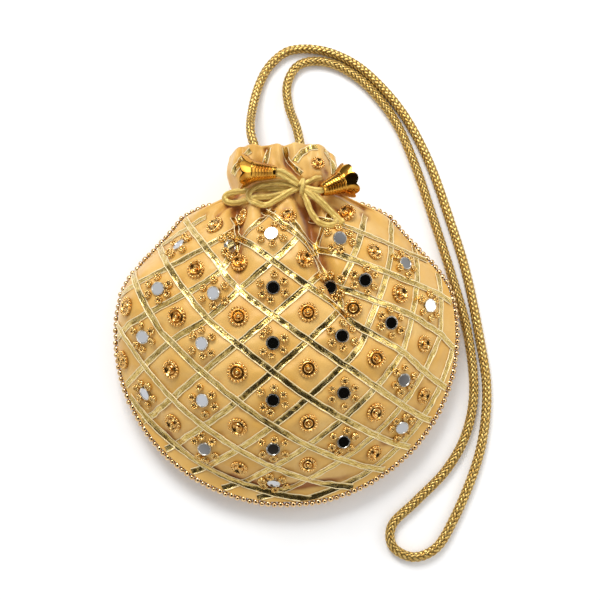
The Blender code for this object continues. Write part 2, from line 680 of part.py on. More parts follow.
def drop_onto(tree, x, y):
    """Height of what lies under a plan place, and how level its face is there."""
    above = Vector((x, y, 2.0 * BODY_RADIUS))
    place, normal, _, _ = tree.ray_cast(above, Vector((0.0, 0.0, -1.0)))
    if place is None:
        return float(front_point(x, y)[..., 2]), 1.0
    return place.z, max(normal.z, 0.35)


def clearance(tree, point):
    """Room between a point over the front and what lies under it, square to the cloth."""
    height, level = drop_onto(tree, point[0], point[1])
    return (point[2] - height) * level


def key_marks(points, first, last, tolerance):
    """Marks of the fewest points whose straight chords stay within a tolerance of the path."""
    chord = points[last] - points[first]
    chord = chord / np.linalg.norm(chord)
    between = points[first + 1:last] - points[first]
    if len(between) == 0:
        return [first]
    away = np.linalg.norm(between - np.outer(between @ chord, chord), axis=1)
    if away.max() <= tolerance:
        return [first]
    middle = first + 1 + int(away.argmax())
    return key_marks(points, first, middle, tolerance) + key_marks(points, middle, last, tolerance)


def ribbon_run(diagonal, rising):
    """Plan places close together along one ribbon, from one side of the front to the other."""
    columns = np.linspace(-8.0, 9.0, 681)
    rows = diagonal - columns if rising else columns - diagonal
    x, y = lattice_point(columns, rows)
    inside = clear_of_rim(x, y, RIBBON_MARGIN)
    inside &= (y < STRING_LINE_Y - RIBBON_TOP_MARGIN) & (rows > -9.0) & (rows < 5.5)
    if not inside.any():
        return None
    marks = np.flatnonzero(inside)
    runs = np.split(marks, np.flatnonzero(np.diff(marks) > 1) + 1)
    run = max(runs, key=len)
    points = front_point(x[run], y[run])
    if np.linalg.norm(np.diff(points, axis=0), axis=1).sum() < SHORTEST_RIBBON:
        return None
    return points


def ribbon_stations(points):
    """Plan places along one ribbon that its straight stretches run between."""
    keys = [0]
    for mark in key_marks(points, 0, len(points) - 1, RIBBON_TOLERANCE)[1:]:
        away = min(np.linalg.norm(points[mark] - points[keys[-1]]), np.linalg.norm(points[mark] - points[-1]))
        if away > RIBBON_WIDTH:
            keys.append(mark)
    keys.append(len(points) - 1)
    return points[keys, 0], points[keys, 1]


def ribbon_tree():
    """Search tree over the middle lines of all ribbons."""
    lines = [ribbon_run(diagonal, rising) for rising in (False, True) for diagonal in DIAGONALS[rising]]
    points = np.concatenate([line for line in lines if line is not None])
    tree = KDTree(len(points))
    for number, point in enumerate(points):
        tree.insert(Vector(point), number)
    tree.balance()
    return tree


def ribbon_solid(x, y, tree):
    """A flat ribbon laid along its stations, lifted until it clears what lies under it."""
    _, normals = front_frame(x, y)
    way = np.stack([np.gradient(x), np.gradient(y)], axis=-1)
    way /= np.linalg.norm(way, axis=1, keepdims=True)
    side = np.stack([way[:, 1], -way[:, 0]], axis=-1)
    tilt = (normals[:, :2] * side).sum(axis=1)
    side = side * (RIBBON_WIDTH / 2 * np.sqrt(np.clip(1.0 - tilt ** 2, 0.3, 1.0)))[:, None]
    plan = np.stack([x, y], axis=-1)
    edges = np.stack([plan - side, plan + side], axis=1)
    heights = np.array([[drop_onto(tree, *edge)[0] + 1.5 * SEAT_GAP for edge in pair] for pair in edges])
    for i in range(len(x) - 1):
        for along, over in RIBBON_PROBES:
            weights = np.array([[1.0 - max(along, over), max(over - along, 0.0)],
                                [max(along - over, 0.0), min(along, over)]])
            below, level = drop_onto(tree, *np.tensordot(weights, edges[i:i + 2], axes=2))
            need = below + SEAT_GAP / level - (weights * heights[i:i + 2]).sum()
            heights[i:i + 2] += max(need, 0.0) * weights / (weights ** 2).sum()
    under = []
    for a in range(0, 2 * len(x) - 2, 2):
        under += [[a, a + 3, a + 1], [a, a + 2, a + 3]]
    for _ in range(RAISE_TRIES):
        low = np.concatenate([edges, heights[..., None] - SEAT_GAP], axis=-1).reshape(-1, 3)
        crossed = {face // 2 for face, _ in BVHTree.FromPolygons(low.tolist(), under).overlap(tree)}
        if not crossed:
            break
        for segment in crossed:
            heights[segment:segment + 2] += RAISE_STEP
    low = np.concatenate([edges, heights[..., None]], axis=-1)
    high = low + np.array([0.0, 0.0, RIBBON_THICKNESS])
    corners = np.stack([low[:, 0], low[:, 1], high[:, 1], high[:, 0]], axis=1).reshape(-1, 3)
    last = (len(x) - 1) * 4
    faces = [[0, 1, 2, 3], [last + 3, last + 2, last + 1, last]]
    for a in range(0, last, 4):
        b = a + 4
        faces += [[a, b + 1, a + 1], [a, b, b + 1], [a + 3, a + 2, b + 2], [a + 3, b + 2, b + 3]]
        faces += [[a + 1, b + 1, b + 2, a + 2], [a + 3, b + 3, b, a]]
    return corners, faces


def build_ribbons(laid):
    """Two crossing sets of ribbons, the second laid over the first."""
    number = 0
    ribbons = []
    for rising in (False, True):
        tree = surface_tree(laid)
        placed = []
        for diagonal in DIAGONALS[rising]:
            line = ribbon_run(diagonal, rising)
            number += 1
            if line is None:
                continue
            points, faces = ribbon_solid(*ribbon_stations(line), tree)
            placed.append(add_object(f"ribbon_{number:02d}", points, faces, RIBBON_GOLD, 30.0))
        laid = laid + placed
        ribbons += placed
    tree = surface_tree(laid)
    for stations in RUFFLE_RIBBONS:
        number += 1
        x, share = np.array(stations).T
        points, faces = ribbon_solid(x, STRING_LINE_Y + RUFFLE_HEIGHT * share, tree)
        ribbons.append(add_object(f"ribbon_{number:02d}", points, faces, RIBBON_GOLD, 30.0))
    return ribbons


def build_mirrors(tree):
    """Round mirrors, one in each mirror cell."""
    mirrors = []
    sides = 8
    radius = MIRROR_DIAMETER / 2
    for number, column, row in layout_cells(MIRROR_ROWS):
        point, normal = seat_on(tree, *lattice_point(column, row))
        across, along = tangent_axes(normal)
        angles = np.arange(sides) * 2.0 * math.pi / sides
        spokes = np.cos(angles)[:, None] * across + np.sin(angles)[:, None] * along
        lift = 0.0
        for _ in range(RAISE_TRIES):
            disc = (point + radius * spokes + normal * lift).tolist()
            if not BVHTree.FromPolygons(disc, [list(range(sides))]).overlap(tree):
                break
            lift += RAISE_STEP
        base = point + normal * (lift + SEAT_GAP)
        rings = [base + radius * spokes, base + 0.92 * radius * spokes + MIRROR_THICKNESS * normal]
        points, faces = loft_rings(rings, close_ends=False)
        faces += [list(range(sides)), list(range(sides, 2 * sides))]
        mirrors.append(add_object(f"mirror_{number:02d}", points, faces, MIRROR_GLASS, 30.0))
    return mirrors


def rim_path():
    """The front panel's edge from the right shoulder round the base to the left shoulder."""
    rows = section_rows(BODY_ROWS)
    rows = rows[rows < EDGING_TOP_Y][::-1]
    right = np.stack([half_width(rows), rows], axis=-1)
    path = np.vstack([right, right[::-1] * np.array([-1.0, 1.0])])
    reach = np.concatenate([[0.0], np.cumsum(np.linalg.norm(np.diff(path, axis=0), axis=1))])
    return path, reach


def build_edging():
    """One string of beads, large and small by turns, sewn along the rim seam."""
    path, reach = rim_path()
    count = int(reach[-1] / EDGE_BEAD_PITCH)
    places = (np.arange(2 * count + 1) * 0.5) * EDGE_BEAD_PITCH + 0.2
    x = np.interp(places, reach, path[:, 0])
    y = np.interp(places, reach, path[:, 1])
    tangent = np.stack([np.gradient(x), np.gradient(y)], axis=-1)
    tangent /= np.linalg.norm(tangent, axis=1, keepdims=True)
    outward = np.stack([-tangent[:, 1], tangent[:, 0]], axis=-1)
    is_bead = np.arange(len(places)) % 2 == 1
    is_large = (np.arange(len(places)) // 2) % 2 == 0
    bead_radius = np.where(is_large, LARGE_EDGE_BEAD / 2, SMALL_EDGE_BEAD / 2)
    radius = np.where(is_bead, bead_radius, 0.55)
    offset = EDGE_BEAD_OFFSET + np.where(is_bead & is_large, 0.0, EDGE_BEAD_ZIGZAG)
    centre = np.stack([x, y], axis=-1) + outward * offset[:, None]
    line = np.column_stack([centre, seam_height(y)])
    points, faces = loft_rings(tube_rings(line, radius, 4))
    return add_object("bead_edging", points, faces, GOLD, 180.0)


def bell_profile():
    """Half section of a bell, outside from throat to mouth and back inside."""
    share = np.linspace(0.0, 1.0, 4)
    radius = BELL_THROAT / 2 + 1.3 + (BELL_MOUTH / 2 - BELL_THROAT / 2 - 1.3) * share ** 1.6
    return share * BELL_LENGTH, radius


def bell_solid(throat, direction):
    """A hollow flared bell with a scalloped mouth and an open throat."""
    direction = np.asarray(direction, dtype=float)
    direction /= np.linalg.norm(direction)
    across, along = tangent_axes(direction)
    sides = 2 * BELL_SCALLOPS
    angles = np.arange(sides) * 2.0 * math.pi / sides
    spokes = np.cos(angles)[:, None] * across + np.sin(angles)[:, None] * along
    scallop = np.where(np.arange(sides) % 2 == 0, 1.0, 0.0)
    length, radius = bell_profile()
    outer = []
    inner = []
    for reach, size in zip(length, radius):
        wave = (reach / BELL_LENGTH) ** 3
        stretch = reach + 1.4 * wave * (scallop - 0.5)
        size_round = size * (1.0 + 0.05 * wave * (scallop - 0.5))
        outer.append(throat + spokes * size_round[:, None] + np.outer(stretch, direction))
        inner.append(throat + spokes * (size_round - BELL_WALL)[:, None] + np.outer(stretch, direction))
    hole = throat + spokes * BELL_THROAT / 2
    floor = inner[0] + direction * BELL_WALL
    hole_in = hole + direction * BELL_WALL
    rings = [hole] + outer + inner[:0:-2] + [floor, hole_in, hole]
    points, faces = loft_rings(rings, close_ends=False)
    return points, faces


def clear_throat(throat, way):
    """Throat of a bell that lies on the front, lifted where the front would reach into it."""
    points, _ = bell_solid(throat, way)
    room = (points[:, 2] - front_point(points[:, 0], points[:, 1])[:, 2]).min()
    return throat + np.array([0.0, 0.0, max(BELL_ROOM - room, 0.0)])


def build_bell(name, throat, way):
    """One bell, its mesh about its own axis."""
    points, faces = bell_solid(throat, way)
    return weld(add_object(name, points, faces, BRASS, 40.0))


def string_ring():
    """The part of the drawstring that runs round inside the casing."""
    sides = 28
    angles = np.arange(sides) * 2.0 * math.pi / sides
    width, depth = lining_half_size(STRING_LINE_Y)
    reach = SEAT_GAP + EDGE_GAP / 2 + STRING_DIAMETER / 2
    line = np.stack([(width + reach) * np.cos(angles), np.full(sides, STRING_LINE_Y),
                     NECK_AXIS_HEIGHT + (depth + reach) * np.sin(angles)], axis=-1)
    tangent = np.roll(line, -1, axis=0) - np.roll(line, 1, axis=0)
    tangent /= np.linalg.norm(tangent, axis=1, keepdims=True)
    first = np.array([0.0, 1.0, 0.0])
    second = np.cross(tangent, first)
    turns = np.arange(6) * math.pi / 3
    spokes = np.cos(turns)[None, :, None] * first + np.sin(turns)[None, :, None] * second[:, None, :]
    rings = line[:, None, :] + spokes * STRING_DIAMETER / 2
    points, faces = loft_rings(np.concatenate([rings, rings[:1]]), close_ends=False)
    return points, faces


def weld(item):
    """Merge doubled points of a ring that closes on itself."""
    work = bmesh.new()
    work.from_mesh(item.data)
    bmesh.ops.remove_doubles(work, verts=work.verts, dist=0.00001)
    bmesh.ops.recalc_face_normals(work, faces=work.faces)
    work.to_mesh(item.data)
    work.free()
    return item


def ball_solid(place, size):
    """A small round knot."""
    turns = np.arange(8) * math.pi / 4
    heights = np.radians([-50.0, 0.0, 50.0])
    rings = [place + size * np.column_stack([np.cos(turns) * math.cos(v), np.sin(turns) * math.cos(v),
                                             np.full(8, math.sin(v))]) for v in heights]
    points, faces = loft_rings(rings)
    points[-2] = place - size * np.array([0.0, 0.0, 1.0])
    points[-1] = place + size * np.array([0.0, 0.0, 1.0])
    return points, faces


def rest_over(tree, x, y, radius):
    """Height of the middle of something round that rests on what lies under a plan place."""
    turns = np.arange(8) * math.pi / 4
    spots = [(x, y)] + [(x + radius * math.cos(t), y + radius * math.sin(t)) for t in turns]
    return max(drop_onto(tree, *spot)[0] for spot in spots) + radius + EDGE_GAP


def laid_path(tree, plan):
    """A stretch of the drawstring laid along plan points, over what lies under it."""
    flat = smooth_path([(x, y, 0.0) for x, y in plan], STRING_STEP)
    heights = np.array([rest_over(tree, x, y, STRING_DIAMETER / 2) for x, y, _ in flat])
    padded = np.pad(heights, 1, mode="edge")
    flat[:, 2] = np.maximum(np.maximum(padded[:-2], padded[2:]), heights)
    return flat


def build_drawstring(tree, left_throat, right_throat):
    """The drawstring as one piece: casing run, knot, bow loops and tails with end knots."""
    points, faces = string_ring()
    string = weld(add_object("drawstring", points, faces, STRING_TISSUE, 60.0))
    knot_size = np.array(KNOT_SIZE) / 2
    knot = np.array([KNOT_X, STRING_LINE_Y, rest_over(tree, KNOT_X, STRING_LINE_Y, knot_size[2])])
    _, depth = lining_half_size(STRING_LINE_Y)
    ring_top = NECK_AXIS_HEIGHT + depth
    left_end = left_throat + STOPPER_DEPTH * BELL_LEFT_WAY
    right_end = right_throat + STOPPER_DEPTH * BELL_RIGHT_WAY
    at_knot = [(KNOT_X, STRING_LINE_Y)]
    routes = [
        smooth_path([(KNOT_X, STRING_LINE_Y, ring_top), (KNOT_X, STRING_LINE_Y, knot[2])], STRING_STEP),
        laid_path(tree, at_knot + FRONT_LOOP + at_knot),
        laid_path(tree, at_knot + REAR_LOOP + at_knot),
        laid_path(tree, at_knot + RIGHT_LOOP + at_knot),
        smooth_path([knot, left_throat - STRAND_LEAD * BELL_LEFT_WAY, left_end], STRING_STEP),
        smooth_path([knot, right_throat - STRAND_LEAD * BELL_RIGHT_WAY, right_end], STRING_STEP),
    ]
    solids = [loft_rings(tube_rings(route, STRING_DIAMETER / 2, 6)) for route in routes]
    solids.append(ball_solid(knot, knot_size))
    solids.append(ball_solid(left_end, np.full(3, STOPPER_DIAMETER / 2)))
    solids.append(ball_solid(right_end, np.full(3, STOPPER_DIAMETER / 2)))
    points, faces = merge_solids(solids)
    add_boolean(string, "UNION", add_object("bow", points, faces, STRING_TISSUE, 60.0))
    return string


def build_handle():
    """The rope handle: one doubled loop, both ends tucked into the mouth."""
    route = smooth_path(ROPE_ROUTE, ROPE_STEP) / METRE
    curve = bpy.data.curves.new("handle_cord", "CURVE")
    curve.dimensions = "3D"
    curve.bevel_depth = ROPE_DIAMETER / 2 / METRE
    curve.bevel_resolution = 2
    curve.use_fill_caps = True
    spline = curve.splines.new("POLY")
    spline.points.add(len(route) - 1)
    for point, place in zip(spline.points, route):
        point.co = (*place, 1.0)
    curve.materials.append(make_material(ROPE_THREAD))
    item = bpy.data.objects.new("handle_cord", curve)
    bpy.context.scene.collection.objects.link(item)
    return item


def main():
    """Build the whole pouch."""
    clear_scene()
    panel = build_front_panel()
    build_back_panel()
    build_lining()
    mirrors = build_mirrors(surface_tree([panel]))
    ribbons = build_ribbons([panel] + mirrors)
    build_edging()
    left_throat = clear_throat(BELL_LEFT_THROAT, BELL_LEFT_WAY)
    right_throat = clear_throat(BELL_RIGHT_THROAT, BELL_RIGHT_WAY)
    build_bell("bell_left", left_throat, BELL_LEFT_WAY)
    build_bell("bell_right", right_throat, BELL_RIGHT_WAY)
    build_drawstring(surface_tree([panel] + mirrors + ribbons), left_throat, right_throat)
    build_handle()


main()
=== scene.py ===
"""Dressed model of a round drawstring pouch that lies on its back, with bells and a rope handle.

The pouch's forms are worked out in millimetres on grids and profiles, in the frame of the
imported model: the mouth points along +Y, the front faces +Z and the back rests on z = 0.
"""

from __future__ import annotations

import logging
import math
from dataclasses import dataclass, replace
from enum import Enum
from typing import Iterable, Sequence

import bmesh
import bpy
import numpy as np
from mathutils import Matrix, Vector
from mathutils.kdtree import KDTree

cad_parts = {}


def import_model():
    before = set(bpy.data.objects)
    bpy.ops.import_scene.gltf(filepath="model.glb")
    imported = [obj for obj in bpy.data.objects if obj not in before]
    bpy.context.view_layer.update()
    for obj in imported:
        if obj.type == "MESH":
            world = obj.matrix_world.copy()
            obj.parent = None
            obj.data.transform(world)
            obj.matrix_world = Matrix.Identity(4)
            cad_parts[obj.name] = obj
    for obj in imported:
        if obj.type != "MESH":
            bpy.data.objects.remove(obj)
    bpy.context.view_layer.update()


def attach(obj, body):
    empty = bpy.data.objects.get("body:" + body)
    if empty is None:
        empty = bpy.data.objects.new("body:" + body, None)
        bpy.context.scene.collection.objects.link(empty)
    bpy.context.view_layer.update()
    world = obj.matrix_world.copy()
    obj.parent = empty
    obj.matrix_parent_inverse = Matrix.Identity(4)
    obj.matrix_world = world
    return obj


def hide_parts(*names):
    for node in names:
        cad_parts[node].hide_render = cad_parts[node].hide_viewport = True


LOG = logging.getLogger("pouch")

Array = np.ndarray
Colour = tuple[float, float, float, float]

MILLIMETRE = 0.001
TURN = 2.0 * math.pi

# Way from the pouch to the dark camera overhead, which metal and mirrors reflect.
DARK_WAY = (0.16, -0.34, 0.93)


class Way(Enum):
    """Which way a ribbon runs across the front, seen from above."""

    FALLING = 0
    RISING = 1


# Small maths


def smooth_step(start: float, end: float, value: Array | float) -> Array:
    """Rise from 0 to 1 between start and end: 3 t squared less 2 t cubed.

    Args:
        start: Value where the rise begins.
        end: Value where it is done.
        value: Where to read it.

    Returns:
        The rise, with no corner at either end.
    """
    share = np.clip((np.asarray(value, dtype=float) - start) / (end - start), 0.0, 1.0)
    return share * share * (3.0 - 2.0 * share)


def logistic(value: Array) -> Array:
    """Rise from 0 to 1 round zero: one over one plus e to the minus value."""
    return 1.0 / (1.0 + np.exp(-value))


def ripple(x: Array, y: Array, seed: int, wavelength: float, waves: int = 9) -> Array:
    """Soft uneven ripples: the mean of cosines with random ways, lengths and phases.

    Args:
        x: First coordinate.
        y: Second coordinate.
        seed: Seed of the random draws.
        wavelength: Middle wavelength, in the unit of x and y.
        waves: Number of cosines.

    Returns:
        Heights of about -1 to 1.
    """
    draw = np.random.default_rng(seed)
    turns = draw.uniform(0.0, TURN, waves)
    lengths = wavelength * draw.uniform(0.7, 1.5, waves)
    phases = draw.uniform(0.0, TURN, waves)
    total = np.zeros(np.broadcast(x, y).shape)
    for turn, length, phase in zip(turns, lengths, phases):
        total = total + np.cos(TURN * (x * math.cos(turn) + y * math.sin(turn)) / length + phase)
    return total / math.sqrt(waves)


def unit(vectors: Array) -> Array:
    """Vectors divided by their lengths."""
    return vectors / np.linalg.norm(vectors, axis=-1, keepdims=True)


def even_turns(count: int) -> Array:
    """Angles at an even step round a circle."""
    return np.arange(count) * TURN / count


def spokes(turns: Array, first: Array, second: Array) -> Array:
    """Directions round a path: cosine times the first direction plus sine times the second.

    Args:
        turns: Angles, for all places alike or one row for each.
        first: First cross directions, one a row.
        second: Second cross directions.

    Returns:
        Places by angles by 3.
    """
    return np.cos(turns)[..., None] * first[:, None, :] + np.sin(turns)[..., None] * second[:, None, :]


def reached(line: Array) -> Array:
    """Distance along a line at each of its points, from nought."""
    return np.concatenate([[0.0], np.cumsum(np.linalg.norm(np.diff(line, axis=0), axis=1))])


def smooth_path(points: Sequence[Sequence[float]], step: float) -> Array:
    """Even points along the Catmull-Rom curve through the given ones.

    Args:
        points: Route points.
        step: Distance between the points given back.

    Returns:
        Points, one row each.
    """
    marks = np.asarray(points, dtype=float)
    ends = np.vstack([2 * marks[0] - marks[1], marks, 2 * marks[-1] - marks[-2]])
    share = np.linspace(0.0, 1.0, 17)[:-1, None]
    pieces = []
    for a, b, c, d in zip(ends[:-3], ends[1:-2], ends[2:-1], ends[3:]):
        curve = 2 * b + (c - a) * share + (2 * a - 5 * b + 4 * c - d) * share ** 2
        pieces.append(0.5 * (curve + (3 * b - a - 3 * c + d) * share ** 3))
    dense = np.vstack(pieces + [marks[-1:]])
    return evened(dense, step)


def evened(line: Array, step: float) -> Array:
    """Points at an even step along a line of straight runs.

    Args:
        line: Points of the line.
        step: Distance wanted between two points.

    Returns:
        Points on the line.
    """
    reach = reached(line)
    count = max(3, int(round(reach[-1] / step)) + 1)
    places = np.linspace(0.0, reach[-1], count)
    return np.stack([np.interp(places, reach, line[:, i]) for i in range(line.shape[1])], axis=-1)


def blurred(heights: Array, rows: int, columns: int) -> Array:
    """Mean of a grid over a window round each place.

    Args:
        heights: Grid of numbers.
        rows: Rows taken on either side.
        columns: Columns taken on either side.

    Returns:
        Grid of means.
    """
    total = np.pad(heights, ((rows, rows), (columns, columns)), mode="edge")
    down = sum(total[i:i + heights.shape[0]] for i in range(2 * rows + 1)) / (2 * rows + 1)
    return sum(down[:, i:i + heights.shape[1]] for i in range(2 * columns + 1)) / (2 * columns + 1)


def path_frames(path: Array, up: Sequence[float] = (0.0, 0.0, 1.0)) -> tuple[Array, Array, Array]:
    """Directions along a path that turn about it as little as they can.

    Args:
        path: Points of the path.
        up: The first cross direction leans this way.

    Returns:
        Tangents, first and second cross directions.
    """
    tangents = unit(np.gradient(path, axis=0))
    first = np.asarray(up, dtype=float)
    if abs(float(first @ tangents[0])) > 0.9:
        first = np.array([1.0, 0.0, 0.0])
    across = np.empty_like(path)
    for number, tangent in enumerate(tangents):
        first = first - tangent * (tangent @ first)
        first = first / np.linalg.norm(first)
        across[number] = first
    return tangents, across, np.cross(tangents, across)


def frames_on(normals: Array) -> Array:
    """Matrices whose columns are two directions along the cloth and its normal.

    Args:
        normals: One normal a row.

    Returns:
        Array of 3 by 3 matrices.
    """
    across = unit(np.cross([0.0, 1.0, 0.0], normals))
    along = np.cross(normals, across)
    return np.stack([across, along, normals], axis=-1)


def turned_frames(frames: Array, tilts: Array) -> Array:
    """Frames whose normal leans by small shares along their own two directions.

    Args:
        frames: Matrices from frames_on.
        tilts: Two shares a row.

    Returns:
        Leaning frames.
    """
    lean = frames[..., 2] + tilts[:, :1] * frames[..., 0] + tilts[:, 1:] * frames[..., 1]
    return frames_on(unit(lean))


# Meshes


@dataclass(frozen=True)
class Patch:
    """Points in millimetres and faces as arrays.

    Attributes:
        points: One point a row.
        corners: Point numbers of all faces in one list.
        sizes: Number of corners of each face.
        values: Named numbers, one for each point.
    """

    points: Array
    corners: Array
    sizes: Array
    values: dict[str, Array]


def sheet_patch(grid: Array, wrap: bool = False, values: dict[str, Array] | None = None) -> Patch:
    """Faces between the rows and columns of a grid of points.

    Args:
        grid: Rows by columns by 3.
        wrap: Whether the last column joins the first.
        values: Named numbers that can be spread over rows by columns.

    Returns:
        The patch, its faces turned so that rows cross columns outwards.
    """
    rows, columns = grid.shape[:2]
    index = np.arange(rows * columns).reshape(rows, columns)
    if wrap:
        index = np.concatenate([index, index[:, :1]], axis=1)
    quads = np.stack([index[:-1, :-1], index[:-1, 1:], index[1:, 1:], index[1:, :-1]], axis=-1)
    quads = quads.reshape(-1, 4)
    flat = {name: np.broadcast_to(value, (rows, columns)).ravel() for name, value in (values or {}).items()}
    return Patch(grid.reshape(-1, 3), quads.ravel(), np.full(len(quads), 4), flat)


def tube_patch(rings: Array, values: dict[str, Array] | None = None) -> Patch:
    """A tube through rings of points, with a flat face over its first and its last ring.

    Args:
        rings: Rings by points by 3.
        values: Named numbers that can be spread over rings by points.

    Returns:
        The closed tube.
    """
    count, sides = rings.shape[:2]
    body = sheet_patch(rings, wrap=True, values=values)
    first = np.arange(sides)[::-1]
    last = (count - 1) * sides + np.arange(sides)
    return replace(body, corners=np.concatenate([body.corners, first, last]),
                   sizes=np.concatenate([body.sizes, [sides, sides]]))


def turned_patch(profile: Sequence[tuple[float, float]], sides: int) -> Patch:
    """A solid of revolution about Z, closed to a point where its radius is nought.

    Args:
        profile: Pairs of radius and height, from the bottom pole to the top pole.
        sides: Points round the axis.

    Returns:
        The closed patch.
    """
    marks = np.asarray(profile, dtype=float)
    turns = even_turns(sides)
    rings = np.empty((len(marks) - 2, sides, 3))
    rings[..., :2] = marks[1:-1, None, :1] * np.stack([np.cos(turns), np.sin(turns)], axis=-1)
    rings[..., 2] = marks[1:-1, None, 1]
    body = sheet_patch(rings, wrap=True)
    count = len(body.points)
    poles = np.array([[0.0, 0.0, marks[0, 1]], [0.0, 0.0, marks[-1, 1]]])
    here = np.arange(sides)
    there = (here + 1) % sides
    top = count - sides
    low = np.stack([np.full(sides, count), there, here], axis=-1)
    high = np.stack([top + here, top + there, np.full(sides, count + 1)], axis=-1)
    return replace(body, points=np.vstack([body.points, poles]),
                   corners=np.concatenate([body.corners, low.ravel(), high.ravel()]),
                   sizes=np.concatenate([body.sizes, np.full(2 * sides, 3)]))


def valued(patch: Patch, painted_shade: Array | float) -> Patch:
    """The patch with how much painted shade each point takes, one number for each point."""
    return replace(patch, values={"painted_shade": np.broadcast_to(painted_shade, len(patch.points)).astype(float)})


def ball_patch(radius: float, rings: int, sides: int, painted_shade: float = 0.0, height: float = 0.0) -> Patch:
    """A small bead.

    Args:
        radius: Its radius.
        rings: Rings between its poles.
        sides: Points in each ring.
        painted_shade: How much painted shade it takes, 0 to 1.
        height: Height of its middle.

    Returns:
        A ball about a place on Z.
    """
    turns = np.linspace(-math.pi / 2, math.pi / 2, rings + 2)
    ball = turned_patch([(radius * math.cos(t), radius * math.sin(t) + height) for t in turns], sides)
    return valued(ball, painted_shade)


def copies(patch: Patch, places: Array, frames: Array | None = None, scales: Array | float = 1.0) -> Patch:
    """The same patch set down many times.

    Args:
        patch: What is repeated.
        places: One place a row.
        frames: One 3 by 3 matrix for each place, or none to leave all upright.
        scales: One scale for each place, or one for all.

    Returns:
        All copies in one patch.
    """
    count = len(places)
    turned = patch.points[None] if frames is None else np.einsum("nij,pj->npi", frames, patch.points)
    points = turned * np.broadcast_to(scales, count)[:, None, None] + np.asarray(places)[:, None, :]
    shift = np.arange(count)[:, None] * len(patch.points)
    values = {name: np.tile(value, count) for name, value in patch.values.items()}
    return Patch(points.reshape(-1, 3), (patch.corners[None, :] + shift).ravel(),
                 np.tile(patch.sizes, count), values)


def ringed(patch: Patch, count: int, radius: float, height: float) -> Patch:
    """Copies of a patch at an even step round Z.

    Args:
        patch: What is repeated.
        count: Number of copies.
        radius: Distance of each from Z.
        height: Height of all.

    Returns:
        All copies in one patch.
    """
    turns = even_turns(count)
    places = np.column_stack([radius * np.cos(turns), radius * np.sin(turns), np.full(count, height)])
    return copies(patch, places)


def joined(patches: Iterable[Patch]) -> Patch:
    """Several patches in one.

    Args:
        patches: Patches with the same named values.

    Returns:
        One patch.
    """
    parts = list(patches)
    starts = np.cumsum([0] + [len(part.points) for part in parts[:-1]])
    corners = np.concatenate([part.corners + start for part, start in zip(parts, starts)])
    names = parts[0].values.keys()
    values = {name: np.concatenate([part.values[name] for part in parts]) for name in names}
    points = np.concatenate([part.points for part in parts])
    return Patch(points, corners, np.concatenate([part.sizes for part in parts]), values)


def make_piece(name: str, patch: Patch, *materials: bpy.types.Material, sharp: float = 180.0,
               merge: bool = False) -> bpy.types.Object:
    """Make a Blender object of a patch, its place in its mesh.

    Args:
        name: Name of the piece.
        patch: Its points and faces.
        materials: Its materials.
        sharp: Edges that bend by more than this many degrees stay sharp.
        merge: Whether doubled points are merged.

    Returns:
        The object.
    """
    mesh = bpy.data.meshes.new(name)
    mesh.vertices.add(len(patch.points))
    mesh.vertices.foreach_set("co", (patch.points * MILLIMETRE).ravel())
    mesh.loops.add(len(patch.corners))
    mesh.loops.foreach_set("vertex_index", patch.corners.astype(np.int32))
    mesh.polygons.add(len(patch.sizes))
    starts = np.concatenate([[0], np.cumsum(patch.sizes)[:-1]])
    mesh.polygons.foreach_set("loop_start", starts.astype(np.int32))
    mesh.update(calc_edges=True)
    for key, value in patch.values.items():
        layer = mesh.attributes.new(key, "FLOAT", "POINT")
        layer.data.foreach_set("value", value.astype(np.float32))
    if merge:
        work = bmesh.new()
        work.from_mesh(mesh)
        bmesh.ops.remove_doubles(work, verts=work.verts, dist=1e-6)
        bmesh.ops.recalc_face_normals(work, faces=work.faces)
        work.to_mesh(mesh)
        work.free()
    mesh.validate()
    mesh.shade_smooth()
    if sharp < 180.0:
        mesh.set_sharp_from_angle(angle=math.radians(sharp))
    for material in materials:
        mesh.materials.append(material)
    piece = bpy.data.objects.new(name, mesh)
    bpy.context.scene.collection.objects.link(piece)
    return piece


def place_piece(piece: bpy.types.Object, body: str, slot: str, *nodes: str) -> bpy.types.Object:
    """Let a piece ride on a body in place of CAD nodes.

    Args:
        piece: The piece.
        body: Name of the body that it moves with.
        slot: Material slot of the record; not used.
        nodes: Nodes that it stands for.

    Returns:
        The piece.
    """
    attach(piece, body)
    if nodes:
        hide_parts(*nodes)
    LOG.info("%s rides on %s for %s", piece.name, body, ", ".join(nodes) or "no node")
    return piece


# Materials


def linear(code: str) -> Colour:
    """Turn an sRGB hex value to a linear colour.

    Args:
        code: Six hex digits.

    Returns:
        Red, green, blue and one.
    """
    shares = [int(code[i:i + 2], 16) / 255.0 for i in (0, 2, 4)]
    red, green, blue = (s / 12.92 if s <= 0.04045 else ((s + 0.055) / 1.055) ** 2.4 for s in shares)
    return red, green, blue, 1.0


def wire(tree: bpy.types.NodeTree, node: bpy.types.Node, inputs: dict[str | int, object]) -> None:
    """Set or link a node's inputs.

    Args:
        tree: Its node tree.
        node: The node.
        inputs: For each input, a value or the socket that is linked to it.
    """
    for name, value in inputs.items():
        if isinstance(value, bpy.types.NodeSocket):
            tree.links.new(value, node.inputs[name])
        else:
            node.inputs[name].default_value = value


